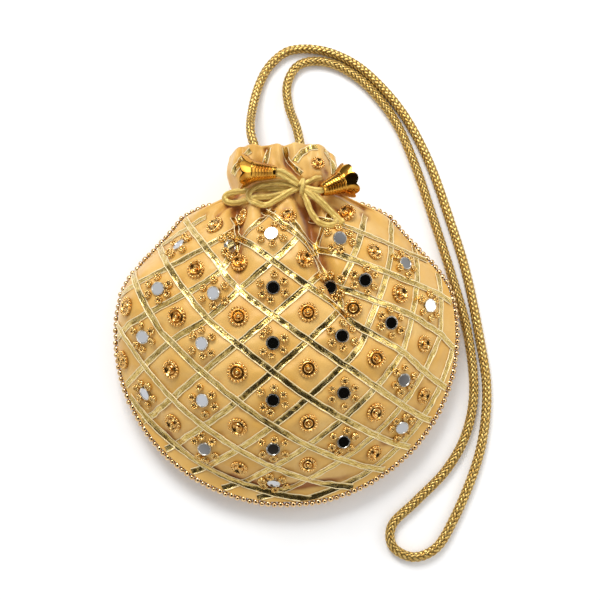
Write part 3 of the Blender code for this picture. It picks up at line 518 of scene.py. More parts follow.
def add_node(tree: bpy.types.NodeTree, kind: str, inputs: dict[str | int, object] | None = None,
             stops: Sequence[tuple[float, str]] = (), output: str | int = 0,
             **settings: object) -> bpy.types.NodeSocket:
    """Add one node with its settings and links.

    Args:
        tree: Node tree of a material or the world.
        kind: Blender's name of the node after ShaderNode.
        inputs: For each input, a value or the socket that is linked to it.
        stops: Places and hex colours, where the node is a colour ramp.
        output: Name or number of the output that is wanted.
        settings: The node's own settings.

    Returns:
        That output.
    """
    node = tree.nodes.new(f"ShaderNode{kind}")
    for name, value in settings.items():
        setattr(node, name, value)
    if stops:
        marks = node.color_ramp.elements
        while len(marks) < len(stops):
            marks.new(0.5)
        for mark, (place, colour) in zip(marks, stops):
            mark.position = place
            mark.color = linear(colour)
    wire(tree, node, inputs or {})
    return node.outputs[output]


def new_tree(name: str) -> tuple[bpy.types.Material, bpy.types.NodeTree, bpy.types.Node]:
    """Start a material.

    Args:
        name: Its name.

    Returns:
        The material, its node tree and its Principled shader.
    """
    material = bpy.data.materials.new(name)
    material.use_nodes = True
    tree = material.node_tree
    return material, tree, tree.nodes["Principled BSDF"]


def pattern_scale(size_mm: float) -> float:
    """Scale of a noise whose patches are this size, on coordinates in metres."""
    return 1.0 / (size_mm * MILLIMETRE)


def wave_scale(period_mm: float) -> float:
    """Scale of a wave of this period: Blender's wave turns 20 radians in each unit."""
    return TURN / 20.0 / (period_mm * MILLIMETRE)


@dataclass(frozen=True)
class Finish:
    """A surface with patches of some tones, with painted shade mixed in where the mesh's values say.

    Attributes:
        tones: Place in the patches' range and hex value of each tone.
        painted_shade_colour: Hex value of the painted shade in hollows, grooves and gaps, or none.
        patch_mm: Size of the patches.
        detail: How much finer patches go on within them.
        polish: Least and greatest roughness as shares of the middle one.
        bump: Strength and depth in metres of the patches' relief, or none.
        others: Further inputs of the shader.
    """

    name: str
    tones: tuple[tuple[float, str], ...]
    roughness: float
    painted_shade_colour: str = ""
    metallic: float = 1.0
    patch_mm: float = 1.111
    detail: float = 2.0
    polish: tuple[float, float] = (0.8, 1.3)
    bump: tuple[float, float] | None = None
    others: tuple[tuple[str, float], ...] = ()

    def place(self, tree: bpy.types.NodeTree) -> tuple[bpy.types.NodeSocket, float]:
        """Where the patches are read, and their scale there."""
        return add_node(tree, "TexCoord", output="Object"), pattern_scale(self.patch_mm)

    def relief(self, tree: bpy.types.NodeTree, patch: bpy.types.NodeSocket) -> dict[str, object]:
        """The shader's Normal input, where there is relief."""
        if self.bump is None:
            return {}
        strength, depth = self.bump
        return {"Normal": add_node(tree, "Bump", {"Height": patch, "Strength": strength, "Distance": depth})}

    def material(self) -> bpy.types.Material:
        """Build it: noise through a ramp of tones, mixed toward the painted shade colour by the mesh's
        painted shade values.
        """
        material, tree, shader = new_tree(self.name)
        place, scale = self.place(tree)
        patch = add_node(tree, "TexNoise", {"Vector": place, "Scale": scale, "Detail": self.detail})
        colour = add_node(tree, "ValToRGB", {"Fac": patch}, stops=self.tones)
        if self.painted_shade_colour:
            # Painted shade: each point's value darkens the colour toward the shade colour.
            painted_shade = add_node(tree, "Attribute", attribute_name="painted_shade", output="Fac")
            colour = add_node(tree, "Mix", {"Factor": painted_shade, "A": colour, "B": linear(self.painted_shade_colour)},
                              data_type="RGBA", output="Result")
        low, high = (self.roughness * share for share in self.polish)
        rough = add_node(tree, "MapRange", {"Value": patch, "To Min": low, "To Max": high})
        wire(tree, shader, {"Base Color": colour, "Roughness": rough, "Metallic": self.metallic,
                            **self.relief(tree, patch), **dict(self.others)})
        return material


@dataclass(frozen=True)
class WovenCloth(Finish):
    """Woven cloth, clouded where it takes the light unevenly and dented by handling.

    Attributes:
        weave_mm: Period of the weave. Real threads lie about 0.2 mm apart, too fine to show at
            this distance, so the weave is drawn more than ten times as coarse.
        crumple_mm: Size of the dents.
    """

    metallic: float = 0.0
    patch_mm: float = 22.22
    detail: float = 3.0
    polish: tuple[float, float] = (1.0, 1.0)
    others: tuple[tuple[str, float], ...] = (
        ("Sheen Weight", 0.25), ("Sheen Roughness", 0.4), ("Specular IOR Level", 0.45))
    weave_mm: float = 2.829
    crumple_mm: float = 6.25

    def relief(self, tree: bpy.types.NodeTree, patch: bpy.types.NodeSocket) -> dict[str, object]:
        """Bumps of the weave, with those of the dents over them."""
        place = add_node(tree, "TexCoord", output="Object")
        weave = add_node(tree, "TexWave", {"Vector": place, "Scale": wave_scale(self.weave_mm),
                                           "Distortion": 1.5, "Detail": 1.0},
                         bands_direction="X", output="Fac")
        dent = add_node(tree, "TexNoise", {"Vector": place, "Scale": pattern_scale(self.crumple_mm),
                                           "Detail": 4.0, "Roughness": 0.55})
        fine = add_node(tree, "Bump", {"Height": weave, "Strength": 0.06, "Distance": 0.0002})
        return {"Normal": add_node(tree, "Bump", {"Height": dent, "Strength": 0.35, "Distance": 0.0009,
                                                  "Normal": fine})}


@dataclass(frozen=True)
class FoldedTissue(Finish):
    """Tissue cloth folded lengthwise into a cord, its fine threads running along.

    Attributes:
        threads: Threads round the cord and their changes of tone in each millimetre along it.
    """

    threads: tuple[float, float, float] = (22.0, 0.35, 1.0)

    def place(self, tree: bpy.types.NodeTree) -> tuple[bpy.types.NodeSocket, float]:
        """Places read from the mesh's turn and along, so that the threads follow the cord."""
        turn, along = (add_node(tree, "Attribute", attribute_name=name, output="Fac")
                       for name in ("turn", "along"))
        spot = add_node(tree, "CombineXYZ", {"X": turn, "Y": along})
        return add_node(tree, "Mapping", {"Vector": spot, "Scale": self.threads}), 1.0


@dataclass(frozen=True)
class GotaRibbon:
    """Gota ribbon, metal film woven over cotton: streaks along it, the lightest in a painted highlight
    colour, and pale threads at its edges.

    Attributes:
        film: Colour of the film.
        painted_highlight: Painted highlight colour of the lightest streaks.
        thread: Its colour where the cotton shows.
        selvedge: Colour of the two edges.
        streaks: Streaks in each millimetre along the ribbon and in each half width across it.
        dents: The same for the dents of crushed film.
        edge: Share of the half width where the selvedge begins and where it is whole.
    """

    name: str = "gota_ribbon"
    film: str = "DAB962"
    painted_highlight: str = "F6E7B6"
    thread: str = "7E5E28"
    selvedge: str = "FBE8B8"
    roughness: float = 0.24
    edge_roughness: float = 0.42
    edge_metal: float = 0.12
    streaks: tuple[float, float, float] = (0.16, 5.2, 1.0)
    dents: tuple[float, float, float] = (0.42, 0.9, 1.0)
    edge: tuple[float, float] = (0.70, 0.76)

    def material(self) -> bpy.types.Material:
        """Build it from the attributes along and across: streaks, dents and pale selvedges."""
        material, tree, shader = new_tree(self.name)
        along = add_node(tree, "Attribute", attribute_name="along", output="Fac")
        across = add_node(tree, "Attribute", attribute_name="across", output="Fac")
        spot = add_node(tree, "CombineXYZ", {"X": along, "Y": across})
        drawn = add_node(tree, "Mapping", {"Vector": spot, "Scale": self.streaks})
        streak = add_node(tree, "TexNoise", {"Vector": drawn, "Scale": 1.0, "Detail": 4.0, "Roughness": 0.7})
        spread = add_node(tree, "Mapping", {"Vector": spot, "Scale": self.dents})
        dent = add_node(tree, "TexNoise", {"Vector": spread, "Scale": 1.0, "Detail": 3.0, "Roughness": 0.6})
        # The lightest stop is a painted highlight colour laid on the streaks.
        tone = add_node(tree, "ValToRGB", {"Fac": streak},
                        stops=[(0.36, self.thread), (0.50, self.film), (0.64, self.painted_highlight)])
        width = add_node(tree, "Math", {0: across}, operation="ABSOLUTE")
        edge = add_node(tree, "MapRange", {"Value": width, "From Min": self.edge[0],
                                           "From Max": self.edge[1]})
        mix = add_node(tree, "Mix", {"Factor": edge, "A": tone, "B": linear(self.selvedge)},
                       data_type="RGBA", output="Result")
        metal = add_node(tree, "MapRange", {"Value": edge, "To Min": 1.0, "To Max": self.edge_metal})
        rough = add_node(tree, "MapRange", {"Value": edge, "To Min": self.roughness,
                                            "To Max": self.edge_roughness})
        woven = add_node(tree, "Bump", {"Height": streak, "Strength": 0.35, "Distance": 0.0003})
        crush = add_node(tree, "Bump", {"Height": dent, "Strength": 0.4, "Distance": 0.0010, "Normal": woven})
        wire(tree, shader, {"Base Color": mix, "Metallic": metal, "Normal": crush, "Roughness": rough})
        return material


class Finishes:
    """All finishes of the pouch, each built once."""

    def __init__(self) -> None:
        """Build every finish."""
        # Polyester satin, woven with long floats: a soft sheen, with painted shade in its folds and hollows.
        self.satin = WovenCloth("polyester_satin", ((0.35, "DBA84E"), (0.68, "E5BA6C")), 0.46,
                                "9A581C").material()
        # Plain woven cotton: duller and paler than the satin.
        self.lining = WovenCloth("cotton_lining", ((0.35, "D2A468"), (0.68, "DDB27A")), 0.8, "B07A3C",
                                 weave_mm=3.772).material()
        self.ribbon = GotaRibbon().material()
        # Stamped and gilt sequins: bright crests, with painted shade in their grooves and round their outer
        # foot.
        self.sequin = Finish("gilt_sequin", ((0.4, "E2AC58"), (0.6, "F6D08A")), 0.24, "6B3C10").material()
        # Gilt glass seed beads: smoother, with painted shade in the middle hollow and on the middle bead.
        self.seed_bead = Finish("gilt_seed_bead", ((0.4, "E3B362"), (0.6, "F7D892")), 0.16,
                                "5A3510").material()
        # Polished gilt balls: pale gold that mirrors the room, with painted shade on their lower halves and
        # on the thread.
        self.edge_bead = Finish("gilt_ball_bead", ((0.4, "DAB078"), (0.6, "F2D6A8")), 0.10,
                                "7A4A22").material()
        # Glass silvered behind: a true mirror, a little grey, with faint smears.
        self.mirror = Finish("silvered_glass", ((0.4, "C0C2C6"), (0.6, "C0C2C6")), 0.03, patch_mm=2.857,
                             detail=3.0, polish=(0.5, 2.0)).material()
        # Rolled tin-plate rims: silver that has gone a little yellow.
        self.bezel = Finish("silver_rim", ((0.4, "B9B4A6"), (0.6, "E4E2DC")), 0.25).material()
        # Cotton woven with metal thread: pale gold and rather dull, with painted shade in the fold between
        # the cord's lobes.
        self.tissue = FoldedTissue("tissue_cloth", ((0.33, "B69038"), (0.6, "F3D87C")), 0.5, "B69038",
                                   metallic=0.25, detail=3.0, polish=(1.0, 1.0), bump=(0.5, 0.0003),
                                   others=(("Sheen Weight", 0.2),)).material()
        # Braided metal thread over a core: bright strands with painted shade in the gaps between them.
        self.rope = Finish("metal_thread", ((0.35, "CC9D42"), (0.62, "F3D27E")), 0.3, "4A2D0A",
                           metallic=0.6, patch_mm=1.4286, polish=(1.0, 1.0), bump=(0.4, 0.0002)).material()
        # Spun and polished brass: deep yellow with sharp reflections.
        self.brass = Finish("polished_brass", ((0.4, "B5782A"), (0.6, "DDA545")), 0.12,
                            patch_mm=8.333).material()


# The pouch's form


@dataclass(frozen=True)
class PouchForm:
    """The outline, the stuffed front and the flat back, in millimetres.

    Attributes:
        circle_end: Share of the radius up to which the outline follows the circle's own formula.
        shoulder: Heights over which the circle begins to give way to the neck.
        bend: Heights over which it bends into the neck, by bend_share of the way.
        neck_reach: How far below the string line the neck begins.
        sink_reach: How far below the string line the front begins to fall to the neck.
        lean_heights: Heights over which the ruffle comes to lean left by ruffle_lean.
        long_folds: Depth, middle line and fading heights of each long fold.
        left_puff: Middle and reach across, then up, of the fuller left side.
        tuck_angles: Degrees round the base between which the rim is tucked under.
        valleys: Middles of the valleys in the ruffle.
        folds: Ends in plan, depth and width of each short sharp fold.
    """

    body_radius: float = 97.5
    circle_end: float = 0.86
    neck_half_width: float = 31.0
    shoulder: tuple[float, float] = (20.0, 78.0)
    bend: tuple[float, float] = (64.0, 82.0)
    bend_share: float = 0.65
    string_y: float = 77.0
    ruffle_height: float = 26.0
    ruffle_swell: float = 1.5
    ruffle_puff: float = 3.0
    ruffle_lean: float = 2.5
    lean_heights: tuple[float, float] = (79.0, 92.0)
    rim_height: float = 13.0
    neck_height: float = 22.0
    neck_reach: float = 32.0
    crown_depth: float = 47.0
    neck_depth: float = 25.0
    sink_reach: float = 37.0
    seam_edge: float = 1.5
    seam_gap: float = 0.3
    rim_fade: float = 0.12
    flat_back_share: float = 0.55
    long_fold_width: float = 5.0
    long_folds: tuple[tuple[float, tuple[float, ...], tuple[float, float]], ...] = (
        (12.0, (28.0, -0.5, 0.004), (-25.0, 50.0)), (9.0, (-25.0, -0.04, 0.0), (5.0, 50.0)))
    pleat_depth: float = 1.6
    pleats: float = 11.0
    valley_depth: float = 5.0
    valley_width: float = 3.5
    valleys: tuple[float, float] = (-14.0, 3.0)
    left_puff: tuple[float, float, float, float] = (-92.0, 42.0, 12.0, 36.0)
    tuck_angles: tuple[float, float, float, float] = (200.0, 225.0, 285.0, 305.0)
    tuck_share: float = 0.7
    folds: tuple[tuple[float, ...], ...] = (
        (-19.0, 74.0, -26.0, 55.0, 3.4, 2.0), (-26.0, 55.0, -28.0, 38.0, 1.8, 2.4),
        (-12.6, 67.0, -12.6, 59.0, 4.2, 2.2), (3.5, 74.0, 10.0, 60.0, 3.6, 2.2),
        (10.0, 60.0, 14.0, 46.0, 1.8, 2.4), (-28.0, 74.0, -39.0, 61.0, 3.2, 2.2),
        (20.0, 74.0, 33.0, 60.0, 3.0, 2.2), (28.0, 76.0, 44.0, 68.0, 2.4, 2.0),
        (-6.0, 73.0, -7.5, 62.0, 1.4, 2.0), (13.0, 74.0, 17.0, 63.0, 1.6, 1.8),
        (-33.0, 66.0, -46.0, 55.0, 1.6, 2.6), (-17.0, 52.0, -9.0, 50.0, 1.0, 2.4),
        (-11.0, 80.0, -9.0, 101.0, 3.8, 2.0), (8.5, 79.0, 2.5, 92.0, 3.8, 1.9),
        (2.5, 92.0, 1.0, 103.0, 3.4, 2.0), (-22.0, 80.0, -24.0, 92.0, 2.4, 2.0),
        (21.0, 79.0, 24.0, 88.0, 2.8, 2.2), (3.0, 82.0, 9.5, 86.0, 1.4, 1.6),
        (14.0, 80.0, 20.0, 83.0, 1.4, 1.6), (-3.0, 80.0, -2.0, 88.0, 1.2, 1.8))

    @property
    def top_y(self) -> float:
        """Height of the ruffle's edge."""
        return self.string_y + self.ruffle_height

    def ruffle_arch(self, y: Array) -> Array:
        """Half a sine wave from the string line to the ruffle's edge."""
        return np.sin(math.pi * np.clip((y - self.string_y) / self.ruffle_height, 0.0, 1.0))

    def half_width(self, y: Array) -> Array:
        """Half width: a circle that slopes in above the shoulder and bends into the neck."""
        inside = np.clip(y, -self.body_radius, self.circle_end * self.body_radius)
        circle = np.sqrt(np.clip(self.body_radius ** 2 - inside ** 2, 0.0, None))
        neck = self.neck_half_width + self.ruffle_swell * self.ruffle_arch(y)
        share = (1.0 - self.bend_share) * smooth_step(*self.shoulder, y)
        share = share + self.bend_share * smooth_step(*self.bend, y)
        return circle * (1.0 - share) + neck * share

    def neck_share(self, y: Array) -> Array:
        """Nought on the body, one from the string line up."""
        return smooth_step(self.string_y - self.neck_reach, self.string_y, y)

    def leaned(self, x: Array, y: Array) -> Array:
        """Plan place across, where the ruffle leans left."""
        return x - self.ruffle_lean * smooth_step(*self.lean_heights, y)

    def seam_height(self, y: Array) -> Array:
        """Height of the rim seam, which climbs to the neck's axis."""
        return self.rim_height + (self.neck_height - self.rim_height) * self.neck_share(y)

    def rim_share(self, x: Array, y: Array) -> Array:
        """Distance from the middle as a share of the outline's: round below, across above."""
        below = np.hypot(x, y) / self.body_radius
        return np.clip(np.where(y < 0.0, below, np.abs(x) / self.half_width(y)), 0.0, 1.0)

    def pulled_in(self, x: Array, y: Array, margin: float) -> tuple[Array, Array]:
        """Plan places brought back inside the outline.

        Args:
            x: Plan place.
            y: Plan place.
            margin: Least distance from the outline.

        Returns:
            x and y.
        """
        away = np.maximum(np.hypot(x, y), 1e-6)
        share = np.where(y < 0.0, np.minimum(1.0, (self.body_radius - margin) / away), 1.0)
        x, y = x * share, y * share
        most = self.half_width(y) - margin
        return np.where(y < 0.0, x, np.clip(x, -most, most)), y

    def long_fold(self, x: Array, y: Array, number: int) -> Array:
        """Depth of a long fold: a Gaussian trough along x = a + b (y - 10) + c (y - 10) squared.

        Args:
            x: Plan place.
            y: Plan place.
            number: Which of the long folds.

        Returns:
            Depth, fading in with y.
        """
        depth, line, reach = self.long_folds[number]
        below = y - 10.0
        middle = line[0] + line[1] * below + line[2] * below ** 2
        return depth * smooth_step(*reach, y) * np.exp(-((x - middle) / self.long_fold_width) ** 2)

    def gathers(self, x: Array, y: Array) -> Array:
        """Depth of the two long folds, the neck's pleats and the ruffle's valleys.

        Args:
            x: Plan place.
            y: Plan place.

        Returns:
            Depth in millimetres.
        """
        body = self.long_fold(x, y, 0) + self.long_fold(x, y, 1)
        body = body * (1.0 - smooth_step(self.string_y - 14.0, self.string_y - 3.0, y))
        turn = np.arccos(np.clip(x / self.half_width(y), -1.0, 1.0))
        pleats = self.pleat_depth * self.neck_share(y) * (1.0 + np.cos(self.pleats * turn))
        valleys = sum(np.exp(-((x - middle) / self.valley_width) ** 2) for middle in self.valleys)
        return body + pleats + self.valley_depth * self.ruffle_arch(y) * valleys

    def front_rise(self, x: Array, y: Array) -> Array:
        """Height of the stuffed front over the seam: (1 - share^3)^power, less the gathers.

        Args:
            x: Plan place.
            y: Plan place.

        Returns:
            Height in millimetres.
        """
        share = self.rim_share(x, y)
        neck = self.neck_share(y)
        middle_x, reach_x, middle_y, reach_y = self.left_puff
        puff = np.exp(-((x - middle_x) / reach_x) ** 2 - ((y - middle_y) / reach_y) ** 2)
        power = (1.3 - 0.75 * puff) * (1.0 - neck) + 0.5 * neck
        sink = smooth_step(self.string_y - self.sink_reach, self.string_y, y)
        crown = self.crown_depth + (self.neck_depth - self.crown_depth) * sink
        crown = crown + self.ruffle_puff * self.ruffle_arch(y)
        dome = crown * np.maximum(1.0 - share ** (3.0 - neck), 0.0) ** power
        angle = np.degrees(np.arctan2(y, x)) % 360.0
        tucked = smooth_step(*self.tuck_angles[:2], angle) * (1.0 - smooth_step(*self.tuck_angles[2:], angle))
        dome = dome * (1.0 - self.tuck_share * tucked * smooth_step(0.86, 0.93, share))
        return np.maximum(dome - self.gathers(x, y) * self.edge_fade(x, y), 0.0)

    def creased(self, x: Array, y: Array) -> Array:
        """Depth of the short sharp folds: round troughs along straight lines.

        Args:
            x: Plan place.
            y: Plan place.

        Returns:
            Depth, from the deepest fold at each place.
        """
        depth = np.zeros(np.broadcast(x, y).shape)
        for x0, y0, x1, y1, deep, width in self.folds:
            along_x, along_y = x1 - x0, y1 - y0
            length = along_x ** 2 + along_y ** 2
            share = np.clip(((x - x0) * along_x + (y - y0) * along_y) / length, 0.0, 1.0)
            away = np.hypot(x - x0 - share * along_x, y - y0 - share * along_y)
            depth = np.maximum(depth, deep * np.exp(-(away / width) ** 2))
        return depth

    def swayed(self, x: Array, y: Array) -> tuple[Array, Array]:
        """Where a plan place ends up: the ruffle leans left and its edge dips between puffs."""
        edge = smooth_step(self.top_y - 13.0, self.top_y, y)
        dips = np.exp(-((x + 10.0) / 5.0) ** 2) + 0.8 * np.exp(-((x - 2.0) / 5.0) ** 2)
        sides = smooth_step(0.75, 1.0, np.abs(x) / self.half_width(y))
        return self.leaned(x, y), y - edge * (2.0 * dips + 2.5 * sides)

    def edge_fade(self, x: Array, y: Array) -> Array:
        """One inside, falling to nought at the rim."""
        return np.clip((1.0 - self.rim_share(x, y)) / self.rim_fade, 0.0, 1.0)

    def back_drop(self, x: Array, y: Array) -> Array:
        """Depth of the back under the seam: flat in the middle, rounded up to the rim.

        Args:
            x: Plan place.
            y: Plan place.

        Returns:
            Depth in millimetres.
        """
        share = self.rim_share(x, y)
        neck = self.neck_share(y)
        past = np.clip((share - self.flat_back_share) / (1.0 - self.flat_back_share), 0.0, 1.0)
        tube = np.sqrt(np.clip(1.0 - share ** 2, 0.0, 1.0))
        deepest = self.seam_height(y) - self.seam_gap / 2 - self.seam_edge
        return deepest * ((1.0 - past ** 2) * (1.0 - neck) + tube * neck)


@dataclass(frozen=True)
class Crowding:
    """How the lattice is crowded on one side, where a long fold takes up cloth.

    Attributes:
        cloth: Cloth that the fold takes up, in millimetres for each row.
        first_row: Row above which it does.
        column: Column where the fold lies, and how it drifts with each row.
        pull: How far it draws each row down, in millimetres.
        closing: How much nearer together the outer columns lie.
        rise: How much the outer columns climb.
    """

    cloth: float
    first_row: float
    column: tuple[float, float]
    pull: float
    closing: float
    rise: float


@dataclass(frozen=True)
class Lattice:
    """The ribbon lattice: where each row and column lies on the cloth, in millimetres."""

    cell_half_width: float = 18.9
    cell_half_height: float = 15.0
    centre: tuple[float, float] = (-6.7, -13.5)
    tilt: float = 0.97
    foot_closing: float = 0.87
    right: Crowding = Crowding(7.05, -1.03, (2.67, 0.2), 3.76, 1.2, 0.54)
    left: Crowding = Crowding(5.1, 0.3, (1.72, 0.0), 2.17, 0.96, 0.64)
    least_run: float = 30.0

    def point(self, column: Array, row: Array) -> tuple[Array, Array]:
        """Plan place of a lattice position, crowded where the two folds take up cloth.

        Args:
            column: Half columns right of the middle.
            row: Half rows above the middle.

        Returns:
            x and y.
        """
        column = np.asarray(column, dtype=float)
        row = np.asarray(row, dtype=float)
        x = self.centre[0] + self.cell_half_width * column
        y = self.centre[1] + self.cell_half_height * row + self.tilt * column
        y = y + self.foot_closing * np.maximum(-row - 1.5, 0.0) ** 2
        for sign, fold in ((1.0, self.right), (-1.0, self.left)):
            out = sign * column
            here = (column < 0) == (sign < 0)
            taken = fold.cloth * np.maximum(row - fold.first_row, 0.0)
            spread = np.maximum(0.3, taken / (3.6 * self.cell_half_width))
            past = logistic((out - fold.column[0] + fold.column[1] * row) / spread)
            x = x - sign * (taken * past + fold.closing * here * np.maximum(out - 2.0, 0.0) ** 2)
            y = y + fold.rise * here * column ** 2 - fold.pull * np.maximum(row, 0.0) * past
        return x, y

    def cells(self, rows: dict[int, tuple[int, int]]) -> Array:
        """Plan places of cells, every other row.

        Args:
            rows: First and last row of each column.

        Returns:
            One place a row.
        """
        spots = [(c, r) for c, (low, high) in rows.items() for r in range(low, high + 1, 2)]
        marks = np.asarray(spots, dtype=float)
        return np.stack(self.point(marks[:, 0], marks[:, 1]), axis=-1)

    def run(self, form: PouchForm, diagonal: int, way: Way) -> Array | None:
        """Plan places close together along one ribbon.

        Args:
            form: The pouch.
            diagonal: Sum or difference of column and row along it.
            way: Which way it runs.

        Returns:
            Places, or None where the ribbon misses the front.
        """
        columns = np.linspace(-8.0, 9.0, 681)
        rows = diagonal - columns if way is Way.RISING else columns - diagonal
        x, y = self.point(columns, rows)
        inside = form.half_width(y) - np.abs(x) > 1.0
        inside &= np.hypot(x, np.minimum(y, 0.0)) < form.body_radius - 1.0
        inside &= (y < form.string_y - 14.0) & (rows > -9.0) & (rows < 5.5)
        if not inside.any():
            return None
        marks = np.flatnonzero(inside)
        runs = np.split(marks, np.flatnonzero(np.diff(marks) > 1) + 1)
        run = max(runs, key=len)
        rise = form.seam_height(y[run]) + form.front_rise(x[run], y[run])
        line = np.column_stack([x[run], y[run], rise])
        if reached(line)[-1] < self.least_run:
            return None
        return line[:, :2]

    def runs(self, form: PouchForm) -> list[tuple[Way, Array]]:
        """All ribbons in the order of their CAD nodes.

        Args:
            form: The pouch.

        Returns:
            Way and plan places of each.
        """
        found = []
        for way in (Way.FALLING, Way.RISING):
            for diagonal in range(-11, 13, 2):
                line = self.run(form, diagonal, way)
                if line is not None:
                    found.append((way, line))
        return found


class Cloth:
    """The finished front face: the stuffed form with puckers at the ribbons and creases."""

    GRID_MM = 1.0
    QUILT_MM = 0.9
    QUILT_WIDTH = 4.2
    TIE_DEPTH = 3.4

    def __init__(self, form: PouchForm, lattice: Lattice) -> None:
        """Work out how far each place lies from the nearest ribbon.

        Args:
            form: The pouch.
            lattice: The lattice on it.
        """
        self.form = form
        self.lattice = lattice
        self.runs = lattice.runs(form)
        marks = np.vstack([line for _, line in self.runs])
        tree = KDTree(len(marks))
        for number, (x, y) in enumerate(marks):
            tree.insert((x, y, 0.0), number)
        tree.balance()
        self.axis_x = np.arange(-104.0, 104.5, self.GRID_MM)
        self.axis_y = np.arange(-104.0, 110.5, self.GRID_MM)
        away = [[tree.find((x, y, 0.0))[2] for x in self.axis_x] for y in self.axis_y]
        self.away = np.asarray(away)

    def distance(self, x: Array, y: Array) -> Array:
        """Plan distance to the nearest ribbon, read between grid points.

        Args:
            x: Plan place.
            y: Plan place.

        Returns:
            Distance in millimetres.
        """
        across = np.clip((x - self.axis_x[0]) / self.GRID_MM, 0, len(self.axis_x) - 1.001)
        down = np.clip((y - self.axis_y[0]) / self.GRID_MM, 0, len(self.axis_y) - 1.001)
        i, j = across.astype(int), down.astype(int)
        s, t = across - i, down - j
        low = self.away[j, i] * (1 - s) + self.away[j, i + 1] * s
        high = self.away[j + 1, i] * (1 - s) + self.away[j + 1, i + 1] * s
        return low * (1 - t) + high * t

    def detail(self, x: Array, y: Array) -> Array:
        """Height added to the plain form: cells puff up between ribbons, the neck is creased.

        Args:
            x: Plan place.
            y: Plan place.

        Returns:
            Height in millimetres, below nought in a crease.
        """
        form = self.form
        quilt = -self.QUILT_MM * np.exp(-(self.distance(x, y) / self.QUILT_WIDTH) ** 4)
        quilt = quilt * (y < form.string_y - 10.0)
        soft = 0.5 * ripple(x, y, 5, 26.0) + 0.22 * ripple(x, y, 8, 11.0)
        u = x / form.half_width(y)
        near = smooth_step(28.0, 72.0, y)
        creases = ripple(u * 60.0, y * 0.22, 13, 17.0) + 0.5 * ripple(u * 60.0, y * 0.5, 14, 8.0)
        tie = -self.TIE_DEPTH * np.exp(-((y - form.string_y) / 3.0) ** 2)
        return (quilt + soft + near * creases + tie - form.creased(x, y)) * form.edge_fade(x, y)

    def point(self, x: Array, y: Array) -> Array:
        """Points of the finished front face over plan places."""
        form = self.form
        height = form.seam_height(y) + form.seam_gap / 2 + form.seam_edge
        rise = np.maximum(form.front_rise(x, y) + self.detail(x, y), 0.0)
        return np.stack([*form.swayed(x, y), height + rise], axis=-1)

    def frame(self, x: Array, y: Array, step: float = 0.6) -> tuple[Array, Array]:
        """Points and outward normals of the finished front face.

        Args:
            x: Plan place.
            y: Plan place.
            step: Half the distance over which the slope is taken.

        Returns:
            Points and unit normals.
        """
        along_x = self.point(x + step, y) - self.point(x - step, y)
        along_y = self.point(x, y + step) - self.point(x, y - step)
        return self.point(x, y), unit(np.cross(along_x, along_y))

    def seated(self, spots: Array, places: Array, normals: Array, radius: float) -> Array:
        """Lift round pieces until the cloth no longer covers their rims.

        Args:
            spots: Plan places of their middles.
            places: Points of their middles.
            normals: The way each piece faces.
            radius: Radius of the pieces.

        Returns:
            Lifted points.
        """
        frames = frames_on(normals)
        rim = radius * spokes(even_turns(12), frames[..., 0], frames[..., 1])
        plan = spots[:, None, :] + rim[..., :2]
        cloth = self.point(plan[..., 0], plan[..., 1])
        over = np.einsum("nij,nj->ni", cloth - places[:, None, :] - rim, normals)
        lift = np.clip(over.max(axis=1) - 0.5, 0.0, 1.6)
        return places + lift[:, None] * normals


# The pouch's pieces


